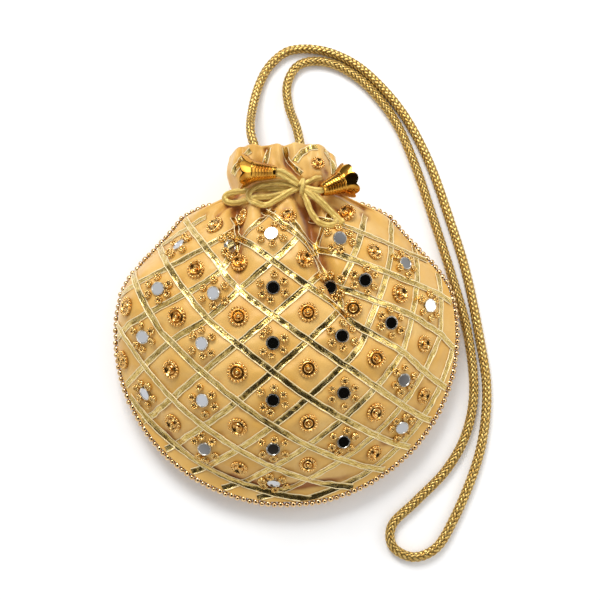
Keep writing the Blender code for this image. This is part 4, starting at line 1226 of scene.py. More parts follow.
@dataclass
class Panels:
    """The two satin panels and the lining.

    Attributes:
        low_gap: How far above the circle's base the lowest row lies.
        close_share: Share of the rows that lie closer together, at the base.
        lining_share: Size of the lining as a share of the pouch's.
        tube: Half width and half depth of the lining in the neck.
        flare: How much wider the lining is at the ruffle's edge.
        least_half: Least half depth of the lining.
    """

    cloth: Cloth
    finishes: Finishes
    front_size: tuple[int, int] = (230, 200)
    back_size: tuple[int, int] = (150, 130)
    lining_size: tuple[int, int] = (90, 64)
    wall_mm: float = 0.8
    low_gap: float = 0.4
    close_share: float = 0.3
    lining_share: float = 0.88
    tube: tuple[float, float] = (20.4, 10.4)
    flare: float = 5.0
    least_half: float = 2.7

    def plan(self, size: tuple[int, int]) -> tuple[Array, Array, Array]:
        """Plan places of a panel's grid, its rows closer together at the base.

        Args:
            size: Rows and columns.

        Returns:
            Shares of the half width, x and y.
        """
        form = self.cloth.form
        radius = form.body_radius
        start = self.low_gap - radius
        share = np.linspace(0.0, 1.0, size[0])
        even = start + share * (form.top_y - start)
        turn = 0.5 * math.pi * np.clip(share / self.close_share, 0.0, 1.0)
        low = share < self.close_share
        closer = start + (even[~low][0] - start) * (1.0 - np.cos(turn))
        y = np.repeat(np.where(low, closer, even)[:, None], size[1], axis=1)
        u = np.sin(np.linspace(-math.pi / 2, math.pi / 2, size[1]))[None, :]
        return u, u * form.half_width(y), y

    def front_grid(self) -> tuple[Array, Array]:
        """Points of the front's outer face, and the painted shade in its folds and hollows."""
        form = self.cloth.form
        _, x, y = self.plan(self.front_size)
        points = self.cloth.point(x, y)
        # Painted shade: darker where the gathers are deep and where the face lies below its blurred
        # neighbours.
        deep = np.clip(form.gathers(x, y) / 9.0, 0.0, 1.0) * form.edge_fade(x, y)
        hollow = (blurred(points[..., 2], 5, 3) - points[..., 2]) / 1.1
        painted_shade = 0.45 * smooth_step(0.2, 1.0, deep) + smooth_step(0.05, 1.0, hollow)
        return points, np.clip(painted_shade, 0.0, 0.95)

    def back_grid(self) -> Array:
        """Points of the back's outer face: nearly flat, pleated at the neck."""
        form = self.cloth.form
        u, x, y = self.plan(self.back_size)
        fade = form.edge_fade(x, y)
        soft = 0.5 * ripple(x, y, 21, 24.0) + 0.25 * ripple(x, y, 22, 10.0)
        pleats = 1.2 * form.neck_share(y) * ripple(u * 60.0 + 0.0 * y, y * 0.2, 23, 14.0)
        drop = form.back_drop(x, y)
        deepest = form.rim_height - form.seam_gap / 2 - form.seam_edge
        level = smooth_step(0.0, 3.0, drop) * (1.0 - smooth_step(0.93, 1.0, drop / deepest))
        drop = drop - np.maximum(soft, 0.0) * level * fade
        drop = drop - pleats * fade * smooth_step(50.0, 62.0, y)
        z = form.seam_height(y) - form.seam_gap / 2 - form.seam_edge - drop
        return np.stack([form.leaned(x, y), y, z], axis=-1)

    def lining_grid(self) -> Array:
        """Rings of the lining: a flattened bag that narrows to the neck's tube."""
        form = self.cloth.form
        rows, sides = self.lining_size
        radius = self.lining_share * form.body_radius
        y = np.linspace(-0.94 * radius, form.top_y + 0.5, rows)[:, None]
        turns = even_turns(sides)[None, :]
        share = smooth_step(form.string_y - 27.0, form.string_y - 10.0, y)
        flare = self.flare * np.clip((y - form.string_y) / form.ruffle_height, 0.0, 1.0)
        circle = np.sqrt(np.maximum(radius ** 2 - np.minimum(y, 0.0) ** 2, 4.0))
        width = np.minimum(form.half_width(y), circle) * self.lining_share
        width = width * (1.0 - share) + (self.tube[0] + flare) * share
        fall = 1.0 - (np.minimum(y, 0.0) / radius) ** 2
        near = smooth_step(form.string_y - 50.0, form.string_y - 20.0, y)
        crown = form.crown_depth + (form.neck_depth - form.crown_depth) * near
        neck = (self.tube[1] + 0.6 * flare) * share
        up = np.maximum(0.68 * crown * fall, self.least_half) * (1.0 - share) + neck
        down = np.maximum(0.6 * form.rim_height * fall, self.least_half) * (1.0 - share) + neck
        sine = np.sin(turns)
        wavy = 1.0 + 0.035 * share * np.cos(9.0 * turns + 0.02 * y)
        x = width * np.cos(turns) * wavy
        z = form.seam_height(y) + sine * np.where(sine > 0, up, down) * wavy
        return np.stack([x, np.broadcast_to(y, x.shape), z], axis=-1)

    def walled(self, name: str, patch: Patch, finish: bpy.types.Material, slot: str,
               node: str) -> bpy.types.Object:
        """Make a cloth piece with its thickness, in place of its CAD node.

        Args:
            name: Name of the piece.
            patch: Its outer face.
            finish: Its material.
            slot: Material slot of the record.
            node: The CAD node.

        Returns:
            The piece.
        """
        piece = make_piece(name, patch, finish)
        wall = piece.modifiers.new("wall", "SOLIDIFY")
        wall.thickness = self.wall_mm * MILLIMETRE
        wall.offset = -1.0
        return place_piece(piece, "pouch", slot, node)

    def build(self) -> None:
        points, painted_shade = self.front_grid()
        front = self.walled("front_cloth", sheet_patch(points, values={"painted_shade": painted_shade}),
                            self.finishes.satin, "satin", "front_panel")
        back = self.walled("back_cloth", sheet_patch(self.back_grid()[:, ::-1], values={"painted_shade": 0.0}),
                           self.finishes.satin, "satin", "back_panel")
        lining = self.walled("lining_cloth", sheet_patch(self.lining_grid(), True, {"painted_shade": 0.0}),
                             self.finishes.lining, "lining_cloth", "lining")


@dataclass
class Ribbons:
    """The lattice of gota ribbon, one piece for each strip.

    Attributes:
        seat: Least distance between a strip and the outline.
        over: How much higher the rising strips lie than the falling ones.
        ruffle: Plan places of the short strips on the ruffle.
    """

    cloth: Cloth
    finishes: Finishes
    width: float = 4.0
    step: float = 1.3
    seat: float = 0.6
    over: float = 0.34
    ruffle: tuple[tuple[tuple[float, float], ...], ...] = (
        ((-31.0, 87.0), (-28.0, 91.5), (-24.5, 95.7), (-20.0, 99.4)),
        ((-12.5, 87.5), (-11.0, 93.0), (-10.0, 98.0), (-9.5, 101.0)),
        ((7.0, 84.0), (4.0, 88.5), (0.8, 95.0), (-0.5, 101.6)),
        ((5.0, 91.0), (8.0, 96.0), (12.0, 99.6), (17.5, 101.2)),
        ((26.5, 87.5), (27.0, 91.5), (25.6, 96.0), (21.5, 100.4)))

    def section(self) -> tuple[Array, Array]:
        """Across shares and heights of the strip's outline: ridged selvedges, flat film."""
        across = np.array([-1.0, -0.93, -0.86, -0.76, -0.3, 0.3, 0.76, 0.86, 0.93, 1.0, 0.6, -0.6])
        height = np.array([0.10, 0.46, 0.46, 0.26, 0.30, 0.30, 0.26, 0.46, 0.46, 0.10, 0.02, 0.02])
        return across, height

    def strip(self, number: int, way: Way, line: Array) -> Patch:
        """One ribbon laid on the cloth.

        Args:
            number: Its number, which seeds its small unevenness.
            way: Which way it runs; the rising set lies over the falling one.
            line: Plan places along it.

        Returns:
            The closed strip.
        """
        places, _ = self.cloth.frame(line[:, 0], line[:, 1])
        plan = evened(np.column_stack([places, line]), self.step)[:, 3:]
        path, normals = self.cloth.frame(plan[:, 0], plan[:, 1], 1.2)
        along = reached(path)
        side = unit(np.cross(unit(np.gradient(path, axis=0)), normals))
        across, height = self.section()
        sway = 0.12 * ripple(along, 0.0 * along, 40 + number, 9.0, 5)
        half = 0.5 * self.width * (1.0 + 0.03 * ripple(along, 0.0 * along, 70 + number, 12.0, 5))
        shift = across[None, :] * half[:, None] + sway[:, None]
        base = plan[:, None, :] + side[:, None, :2] * shift[..., None]
        seats, _ = self.cloth.frame(*self.cloth.form.pulled_in(base[..., 0], base[..., 1], self.seat))
        lift = 0.12 + (self.over if way is Way.RISING else 0.0)
        wave = 0.10 * ripple(along, 0.0 * along, 100 + number, 5.0, 7)
        twist = 0.10 * ripple(along, 0.0 * along, 130 + number, 8.0, 7)
        rise = lift + np.maximum(wave, -0.1)[:, None] + twist[:, None] * across[None, :] + 0.1
        points = seats + normals[:, None, :] * (rise + height[None, :])[..., None]
        return tube_patch(points, {"along": along[:, None] + 37.0 * number, "across": across[None, :]})

    def build(self) -> None:
        """Build every ribbon in place of its CAD node."""
        lean = np.array([self.cloth.form.ruffle_lean, 0.0])
        short = [(Way.FALLING, smooth_path(line, 1.0) + lean) for line in self.ruffle]
        for number, (way, line) in enumerate(self.cloth.runs + short, 1):
            piece = make_piece(f"gota_ribbon_{number:02d}", self.strip(number, way, line),
                               self.finishes.ribbon, sharp=50.0, merge=True)
            place_piece(piece, "pouch", "gota_ribbon", f"ribbon_{number:02d}")


@dataclass
class Mirrors:
    """Round mirrors in thin silver rims, each ringed by six rosettes of seed beads.

    Attributes:
        shine: For each mirror whether it catches the dark (0), the half light (1) or the light (2).
        light_ways: Ways to the half light and to the light.
        steep: Least upward share of a normal that may be leant.
        rows: First and last row of each column of mirrors.
    """

    cloth: Cloth
    finishes: Finishes
    diameter: float = 7.7
    rim_width: float = 0.42
    bead_diameter: float = 5.0
    ring_radius: float = 6.9
    sides: int = 36
    steep: float = 0.65
    sight: tuple[float, float, float] = (0.0, -0.174, 0.985)
    light_ways: tuple[tuple[float, float, float], ...] = ((-0.25, -0.75, 0.6), (-0.75, -0.3, 0.6))
    shine: tuple[int, ...] = (
        0, 0, 1, 0, 0, 2, 2, 2, 1, 0, 0, 0, 0, 0, 2, 0, 0, 2, 1, 1, 0, 0, 0, 0, 0, 0)
    rows: tuple[tuple[int, tuple[int, int]], ...] = (
        (-4, (-2, 4)), (-2, (-4, 4)), (0, (-6, 4)), (2, (-4, 2)), (4, (-4, 4)), (6, (0, 2)))

    def leaned(self, normals: Array, most: float = 0.3) -> Array:
        """Normals leant so that each mirror reflects the dark or the light it should.

        Args:
            normals: Normals of the cloth under the mirrors.
            most: The furthest that a normal is moved.

        Returns:
            Unit normals.
        """
        sight = np.asarray(self.sight)
        aims = np.array([DARK_WAY, *self.light_ways])
        wanted = unit(unit(aims[np.asarray(self.shine)]) + sight)
        step = np.where(normals[:, 2:] < self.steep, 0.0, wanted - normals)
        far = np.linalg.norm(step, axis=1, keepdims=True)
        return unit(normals + step * np.minimum(1.0, most / np.maximum(far, 1e-6)))

    def plate(self) -> Patch:
        """The mirror: a thin disc with a faintly rounded edge."""
        r = 0.5 * self.diameter - 0.3
        profile = [(0, -1.0), (r, -1.0), (r, 0.95), (r - 0.15, 1.1), (0.5 * r, 1.11), (0, 1.11)]
        return turned_patch(profile, self.sides)

    def rim(self) -> Patch:
        """The rim: a ring of half-round section round the mirror."""
        outer, half = 0.5 * self.diameter, self.rim_width
        turns = np.linspace(-0.5 * math.pi, 1.2 * math.pi, 7)[1:6]
        ring = [(outer - half + half * math.cos(t), 0.95 + half * math.sin(t)) for t in turns]
        profile = [(0, -1.0), (outer, -1.0)] + ring + [(outer - 0.8, 0.6), (0, 0.6)]
        return turned_patch(profile, self.sides)

    def build(self) -> None:
        """Build each mirror in place of its CAD node, and all the beads round them."""
        spots = self.cloth.lattice.cells(dict(self.rows))
        places, normals = self.cloth.frame(*spots.T, 2.5)
        frames = frames_on(self.leaned(normals))
        places = self.cloth.seated(spots, places, frames[..., 2], 0.5 * self.diameter) + 0.3 * normals
        plate = self.plate()
        both = joined([plate, self.rim()])
        kinds = (np.arange(len(both.sizes)) >= len(plate.sizes)).astype(np.int32)
        for number in range(len(spots)):
            here = slice(number, number + 1)
            piece = make_piece(f"round_mirror_{number + 1:02d}", copies(both, places[here], frames[here]),
                               self.finishes.mirror, self.finishes.bezel, sharp=30.0)
            piece.data.polygons.foreach_set("material_index", kinds)
            place_piece(piece, "pouch", "mirror_glass", f"mirror_{number + 1:02d}")
        self.beads(spots)

    def rosette(self) -> Patch:
        """Eight grains in a ring on a low cup, and a hollow with a seed bead in the middle; painted shade in
        the hollow, on the seed bead and faintly over the cup.
        """
        r = 0.5 * self.bead_diameter
        cup = turned_patch([(0, 0.0), (0.8 * r, 0.0), (0.9 * r, 0.35 * r), (0.66 * r, 0.62 * r),
                            (0.36 * r, 0.6 * r), (0.25 * r, 0.4 * r), (0, 0.35 * r)], 12)
        # Painted shade: heavy in the middle hollow, faint over the rest of the cup; the middle seed bead
        # takes half.
        cup = valued(cup, np.where(np.hypot(cup.points[:, 0], cup.points[:, 1]) < 0.32 * r, 0.7, 0.1))
        grains = ringed(ball_patch(0.31 * r, 3, 7), 8, 0.68 * r, 0.62 * r)
        return joined([cup, grains, ball_patch(0.2 * r, 3, 7, painted_shade=0.5, height=0.5 * r)])

    def beads(self, spots: Array) -> None:
        """Six rosettes of seed beads round each mirror, sewn to the front panel.

        Args:
            spots: Plan places of the mirrors.
        """
        draw = np.random.default_rng(17)
        _, normals = self.cloth.frame(*spots.T, 2.5)
        frames = frames_on(normals)
        turns = (np.arange(6)[None, :] + 0.5) * TURN / 6 + draw.normal(0.0, 0.12, (len(spots), 6))
        reach = self.ring_radius * (1.0 + draw.normal(0.0, 0.05, (len(spots), 6)))
        plan = reach[..., None] * spokes(turns, frames[..., 0], frames[..., 1])
        flat = (spots[:, None, :] + plan[..., :2]).reshape(-1, 2)
        places, normals = self.cloth.frame(*flat.T, 1.0)
        tilted = turned_frames(frames_on(normals), draw.normal(0.0, 0.18, (len(flat), 2)))
        sizes = 1.0 + draw.normal(0.0, 0.06, len(flat))
        patch = copies(self.rosette(), places, tilted, sizes)
        piece = make_piece("mirror_beads", patch, self.finishes.seed_bead, sharp=60.0)
        place_piece(piece, "pouch", "gold_beads", "front_panel")


@dataclass
class Bosses:
    """Raised motifs: a dished gilt ring with a beaded rim, an inner ring and a centre bead.

    Attributes:
        rows: First and last row of each column of bosses.
        on_ruffle: Plan place and size of the boss on the ruffle, before the ruffle leans.
        clearance: Distance kept between a boss and a ribbon's middle.
    """

    cloth: Cloth
    finishes: Finishes
    diameter: float = 10.8
    rim_beads: int = 17
    clearance: float = 2.5
    on_ruffle: tuple[float, float, float] = (17.7, 90.5, 0.78)
    rows: tuple[tuple[int, tuple[int, int]], ...] = (
        (-5, (-1, 1)), (-3, (-3, 5)), (-1, (-5, 5)), (1, (-5, 5)), (3, (-5, 1)), (5, (-3, 5)))

    def dish(self) -> Patch:
        """The metal part: a base, a rounded outer wall, a dished floor and an inner ring, with painted shade
        in its grooves and round its outer foot.
        """
        r = 0.5 * self.diameter
        profile = [(0, 0.0), (0.98 * r, 0.0), (r * 0.98, 0.5), (0.80 * r, 1.0), (0.76 * r, 1.45),
                   (0.70 * r, 1.55), (0.66 * r, 1.35), (0.60 * r, 0.75), (0.54 * r, 0.6),
                   (0.50 * r, 0.8), (0.46 * r, 1.35), (0.41 * r, 1.55), (0.36 * r, 1.4),
                   (0.30 * r, 0.85), (0.22 * r, 0.7), (0, 0.7)]
        dish = turned_patch(profile, 36)
        # Painted shade in the two grooves and on the outer foot, where the boss meets the cloth.
        away = np.hypot(dish.points[:, 0], dish.points[:, 1]) / r
        painted_groove_shade = sum(dark * np.exp(-((away - place) / 0.05) ** 2)
                     for dark, place in ((0.8, 0.58), (0.35, 0.27)))
        return valued(dish, painted_groove_shade + 0.4 * (away > 0.9))

    def motif(self) -> Patch:
        """One boss with its rim beads and centre bead."""
        r = 0.5 * self.diameter
        rim = ringed(ball_patch(0.16 * r, 4, 8), self.rim_beads, 0.87 * r, 1.0)
        return joined([self.dish(), rim, ball_patch(0.19 * r, 5, 10, height=1.3)])

    def build(self) -> None:
        """Build all bosses as one piece of embroidery."""
        spots = self.cloth.lattice.cells(dict(self.rows))
        room = self.cloth.distance(*spots.T) - self.clearance
        x, y, size = self.on_ruffle
        spots = np.vstack([spots, [x + self.cloth.form.ruffle_lean, y]])
        sizes = np.append(np.clip(2.0 * room / self.diameter, 0.9, 1.0), size)
        places, normals = self.cloth.frame(*spots.T, 2.5)
        draw = np.random.default_rng(29)
        frames = turned_frames(frames_on(normals), draw.normal(0.0, 0.06, (len(spots), 2)))
        sizes = sizes * (1.0 + draw.normal(0.0, 0.025, len(spots)))
        places = self.cloth.seated(spots, places, frames[..., 2], 0.5 * self.diameter)
        patch = copies(self.motif(), places + 0.1 * normals, frames, sizes)
        piece = make_piece("boss_embroidery", patch, self.finishes.sequin, sharp=50.0)
        place_piece(piece, "pouch", "gold_beads", "front_panel")


@dataclass
class BeadEdging:
    """Polished beads of two sizes sewn along the rim seam by turns.

    Attributes:
        offset: How far outside the outline the large beads lie.
        zigzag: How much further out the small ones do.
        top_y: Height where the string of beads ends on both sides.
    """

    form: PouchForm
    finishes: Finishes
    large: float = 3.8
    small: float = 3.1
    pitch: float = 3.5
    zigzag: float = 0.5
    offset: float = 0.9
    top_y: float = 73.0

    def line(self) -> Array:
        """Plan places along the outline, down the right side, round the base and up the left."""
        form = self.form
        y_side = np.linspace(self.top_y, -0.5 * form.body_radius, 300)
        right = np.stack([form.half_width(y_side), y_side], axis=-1)
        turns = np.radians(np.linspace(-30.0, -150.0, 300))
        base = form.body_radius * np.stack([np.cos(turns), np.sin(turns)], axis=-1)
        return evened(np.vstack([right[:-1], base, (right[::-1] * [-1.0, 1.0])[1:]]), 0.5)

    def build(self) -> None:
        """Build the string of beads with its thread."""
        line = self.line()
        reach = np.arange(len(line)) * 0.5
        count = int(reach[-1] / self.pitch)
        places = (np.arange(count) + 0.5) * self.pitch
        x = np.interp(places, reach, line[:, 0])
        y = np.interp(places, reach, line[:, 1])
        tangent = unit(np.stack([np.gradient(x), np.gradient(y)], axis=-1))
        outward = np.stack([-tangent[:, 1], tangent[:, 0]], axis=-1)
        large = np.arange(count) % 2 == 0
        draw = np.random.default_rng(41)
        out = self.offset + np.where(large, 0.0, self.zigzag) + draw.normal(0.0, 0.12, count)
        centres = np.column_stack([x, y]) + outward * out[:, None]
        centres = np.column_stack([centres, self.form.seam_height(y) + draw.normal(0.0, 0.15, count)])
        diameters = np.where(large, self.large, self.small) * (1.0 + draw.normal(0.0, 0.02, count))
        ball = ball_patch(1.0, 10, 18)
        # Painted shade: each bead darker on its lower half.
        ball = valued(ball, 0.5 * (1.0 - smooth_step(0.1, 0.5, ball.points[:, 2])))
        beads = copies(ball, centres, scales=0.5 * diameters)
        path = evened(centres, 1.8)
        _, first, second = path_frames(path)
        thread = tube_patch(path[:, None, :] + 0.35 * spokes(even_turns(6), first, second))
        # The thread between the beads takes heavy painted shade.
        piece = make_piece("bead_string", joined([beads, valued(thread, 0.8)]), self.finishes.edge_bead)
        place_piece(piece, "pouch", "gold_beads", "bead_edging")


@dataclass
class Drawstring:
    """The tissue drawstring: round inside the casing, out through the eyelet and tied in a bow."""

    cloth: Cloth
    finishes: Finishes
    diameter: float = 3.3
    step: float = 0.8
    sides: int = 20
    knot: tuple[float, float, float] = (8.1, 75.6, 50.5)
    ring: tuple[float, float] = (22.7, 12.7)

    def routes(self) -> list[list[tuple[float, float, float]]]:
        """Stretches of the cord as points through which it is laid, the last down the eyelet."""
        k = self.knot
        return [
            [(7.5, 75.8, 50.5), (0.5, 77.6, 50.8), (-5.5, 78.2, 50.6), (-14.3, 77.0, 50.0),
             (-19.6, 74.0, 49.0), (-20.6, 70.6, 48.6), (-17.9, 66.9, 48.6), (-11.3, 65.6, 49.4),
             (-4.8, 68.6, 50.0), (1.8, 72.7, 50.6), k],
            [(7.0, 75.2, 49.0), (-4.0, 75.6, 47.5), (-14.0, 75.6, 46.0), (-21.5, 75.3, 44.0),
             (-28.7, 75.3, 41.5), (-33.7, 74.2, 39.5), (-34.9, 71.8, 38.8), (-31.5, 69.2, 40.0),
             (-23.4, 69.0, 43.0), (-14.0, 70.0, 46.5), (-3.0, 72.0, 48.5), (6.0, 74.6, 49.5)],
            [(8.5, 74.8, 50.0), (11.5, 67.5, 51.0), (14.0, 61.0, 50.5), (18.5, 55.0, 50.0),
             (23.6, 52.4, 49.0), (27.6, 54.0, 48.6), (27.2, 58.0, 49.0), (21.4, 64.0, 50.5),
             (15.0, 70.0, 51.5), (9.0, 75.2, 50.8)],
            [k, (13.5, 72.6, 52.4), (19.0, 67.4, 52.4), (25.5, 60.8, 51.0), (31.8, 54.8, 49.0)],
            [k, (4.0, 79.4, 53.0), (-1.5, 82.6, 55.6), (-5.3, 83.0, 56.0), (-8.5, 82.8, 55.8)],
            [(7.0, 76.5, 52.0), (2.0, 79.0, 53.5), (-2.5, 81.2, 55.4), (-5.3, 82.0, 55.6),
             (-8.5, 82.3, 55.4)],
            [k, (12.5, 74.4, 52.0), (16.5, 73.0, 53.4), (19.7, 72.9, 53.5), (22.8, 74.5, 51.9)],
            [k, (12.5, 78.5, 50.5), (16.5, 80.8, 49.0), (19.5, 81.8, 46.5)],
            [k, (9.3, 77.0, 44.0), (9.3, 77.0, 35.0)],
        ]

    def laid(self, path: Array) -> Array:
        """A path lifted where it would sink into the cloth."""
        surface = self.cloth.point(path[:, 0], path[:, 1])[:, 2] + 0.48 * self.diameter
        lift = np.maximum(surface - path[:, 2], 0.0)
        window = np.ones(7) / 7.0
        eased = np.convolve(np.pad(lift, 3, mode="edge"), window, mode="valid")
        return path + np.column_stack([np.zeros((len(path), 2)), np.maximum(lift, eased)])

    def strand(self, route: Sequence[Sequence[float]], seed: int, lies: bool = False) -> Patch:
        """One stretch of cord: two round lobes side by side with a fold between them.

        Args:
            route: Points of the stretch.
            seed: Seed of its twist.
            lies: Whether it lies on the cloth.

        Returns:
            The closed strand.
        """
        path = smooth_path(route, self.step)
        path = self.laid(path) if lies else path
        _, first, second = path_frames(path)
        turns = even_turns(self.sides)
        along = np.arange(len(path)) * self.step
        twist = 0.5 * ripple(along, 0.0 * along, seed, 30.0, 4)
        lobe = 0.5 * self.diameter * (0.86 + 0.2 * np.cos(2.0 * turns))
        uneven = 1.0 + 0.05 * ripple(along, 0.0 * along, seed + 1, 7.0, 5)
        ways = spokes(turns[None, :] + twist[:, None] + 0.5 * math.pi, first, second)
        points = path[:, None, :] + ways * (lobe[None, :] * uneven[:, None])[..., None]
        # Painted shade in the fold between the two lobes.
        painted_shade = np.clip(-np.cos(2.0 * turns), 0.0, 1.0) ** 3
        return tube_patch(points, {"painted_shade": painted_shade[None, :], "turn": turns[None, :] / TURN,
                                   "along": along[:, None]})

    def knot_patch(self) -> Patch:
        """The knot: a band wound once over a crushed core."""
        k = np.asarray(self.knot)
        turns = np.linspace(0.0, 1.25 * TURN, 26)
        band = np.column_stack([k[0] + 0.4 + 0.9 * np.cos(turns) + 0.9 * np.sin(turns / 2),
                                k[1] + 3.4 * np.cos(turns), k[2] + 2.7 * np.sin(turns)])
        return self.strand(band, 91)

    def build(self) -> None:
        """Build the drawstring in place of its CAD node."""
        form = self.cloth.form
        turns = np.linspace(0.0, TURN, 60)
        ring = np.column_stack([self.ring[0] * np.cos(turns), np.full(60, form.string_y),
                                form.neck_height + self.ring[1] * np.sin(turns)])
        routes = self.routes()
        strands = [self.strand(route, 60 + number, number < len(routes) - 1)
                   for number, route in enumerate(routes)]
        strands += [self.strand(ring, 80), self.knot_patch()]
        piece = make_piece("tissue_drawstring", joined(strands), self.finishes.tissue)
        place_piece(piece, "pouch", "tissue_cord", "drawstring")


@dataclass
class Bell:
    """A ribbed brass bell with a lotus mouth, on one end of the drawstring.

    Attributes:
        throat: Middle of its throat.
        way: The way from throat to mouth.
        neck: Diameter of the hole at the throat.
        petal_swell: How much further out the petals reach than the notches, as a share.
        petal_rise: How much further along they do.
    """

    node: str
    body: str
    throat: tuple[float, float, float]
    way: tuple[float, float, float]
    finishes: Finishes
    length: float = 19.0
    mouth: float = 20.5
    neck: float = 5.6
    petals: int = 8
    petal_swell: float = 0.09
    petal_rise: float = 1.7
    ribs: int = 17
    rib_height: float = 0.28
    wall: float = 0.7
    sides: int = 96

    def radius(self, share: Array) -> Array:
        """Radius along the bell: a slim cone that flares out to the mouth."""
        start = 0.5 * self.neck + 0.6
        flare = 0.56 * share ** 1.1 + 0.44 * smooth_step(0.58, 1.05, share)
        return start + (0.5 * self.mouth - start) * flare

    def wall_rings(self, inside: bool) -> Array:
        """Rings of one face of the bell, from throat to mouth.

        Args:
            inside: Whether it is the inner face.

        Returns:
            Rings by points by 3, along +Z from the throat.
        """
        share = np.linspace(0.0, 1.0, 110)[:, None]
        turns = even_turns(self.sides)[None, :]
        ribbed = smooth_step(0.05, 0.1, share) * (1.0 - smooth_step(0.66, 0.72, share))
        ribs = self.rib_height * ribbed * np.abs(np.sin(math.pi * self.ribs * share / 0.7))
        petal = smooth_step(0.6, 1.0, share) * (np.abs(np.cos(0.5 * self.petals * turns)) - 0.8)
        radius = self.radius(share) + (-self.wall if inside else ribs)
        radius = radius * (1.0 + self.petal_swell * petal)
        height = share * self.length + self.petal_rise * petal
        return np.stack([radius * np.cos(turns), radius * np.sin(turns), height], axis=-1)

    def build(self) -> None:
        """Build the bell in place of its CAD node."""
        outer = self.wall_rings(False)
        inner = self.wall_rings(True)[:2:-1]
        turns = even_turns(self.sides)
        hole = 0.5 * self.neck * np.stack([np.cos(turns), np.sin(turns)], axis=-1)
        low, high = (np.column_stack([hole, np.full(self.sides, z)])[None] for z in (0.0, self.wall))
        patch = sheet_patch(np.concatenate([low, outer, inner, high, low]), wrap=True)
        frames = frames_on(unit(np.asarray([self.way], dtype=float)))
        patch = valued(copies(patch, np.asarray([self.throat]), frames), 0.0)
        piece = make_piece(f"{self.node}_brass", patch, self.finishes.brass, sharp=35.0, merge=True)
        place_piece(piece, self.body, "bell_brass", self.node)


@dataclass
class RopeHandle:
    """The braided rope: both ends tucked into the mouth, the rest loose on the ground.

    Attributes:
        relief: How far the strands stand out of the core.
        sunk: How far the core lies inside the rope's diameter.
    """

    finishes: Finishes
    diameter: float = 5.6
    relief: float = 0.68
    sunk: float = 0.62
    ring_step: float = 0.52
    sides: int = 48
    strands: int = 8
    lay_mm: float = 24.0
    route: tuple[tuple[float, float, float], ...] = (
        (-10.0, 72.0, 16.4), (-13.0, 88.0, 20.5), (-17.5, 104.0, 23.0), (-21.5, 119.0, 18.5),
        (-21.0, 136.0, 8.5), (-17.0, 154.0, 3.6), (-10.0, 167.0, 3.0), (2.0, 176.0, 3.0),
        (21.0, 176.0, 3.0), (40.0, 168.0, 3.0), (56.0, 154.0, 3.0), (72.0, 133.0, 3.0),
        (86.0, 104.0, 3.0), (97.0, 70.0, 3.0), (106.0, 38.0, 3.0), (112.5, 2.0, 3.0),
        (116.5, -30.0, 3.0), (114.0, -58.0, 3.0), (107.0, -82.0, 3.0), (95.0, -108.0, 3.0),
        (85.0, -123.0, 3.0), (72.0, -128.0, 3.0), (60.5, -122.0, 3.0), (60.5, -110.0, 3.0),
        (74.0, -97.0, 3.0), (92.0, -79.0, 3.0), (104.0, -58.0, 3.0), (109.0, -32.0, 3.0),
        (106.0, 2.0, 3.0), (98.5, 32.0, 3.0), (88.0, 68.0, 3.0), (77.5, 102.0, 3.0),
        (66.0, 130.0, 3.0), (50.0, 152.0, 3.0), (34.0, 164.5, 3.0), (19.0, 169.0, 3.0),
        (6.5, 166.0, 3.0), (0.0, 154.0, 3.4), (1.0, 138.0, 8.0), (6.0, 120.0, 18.0),
        (8.5, 104.0, 23.0), (9.0, 88.0, 20.0), (7.0, 72.0, 15.7))

    def build(self) -> bpy.types.Object:
        path = smooth_path(self.route, self.ring_step)
        _, first, second = path_frames(path)
        turns = even_turns(self.sides)[None, :]
        along = np.arange(len(path))[:, None] * self.ring_step
        lay = TURN * along / self.lay_mm
        left = 0.5 * self.strands * (turns + lay)
        right = 0.5 * self.strands * (turns - lay)
        left_count, right_count = np.floor(left / math.pi), np.floor(right / math.pi)
        over = (left_count + right_count) % 4.0 < 2.0
        # Each strand goes over two and under two: it is seen where its count says so.
        across = np.where(over, np.abs(np.sin(left)), np.abs(np.sin(right)))
        reach = np.where(over, left_count + right / math.pi, right_count + left / math.pi) % 2.0
        height = across ** 0.7 * np.abs(np.sin(0.5 * math.pi * reach)) ** 0.35
        radius = 0.5 * self.diameter - self.sunk + self.relief * height
        points = path[:, None, :] + radius[..., None] * spokes(turns, first, second)
        # Painted shade in the gaps, heavier the lower the strands lie.
        patch = tube_patch(points, {"painted_shade": np.clip(1.25 - height * 1.5, 0.0, 1.0)})
        piece = make_piece("rope_handle", patch, self.finishes.rope)
        place_piece(piece, "pouch", "rope", "handle_cord")


# The studio


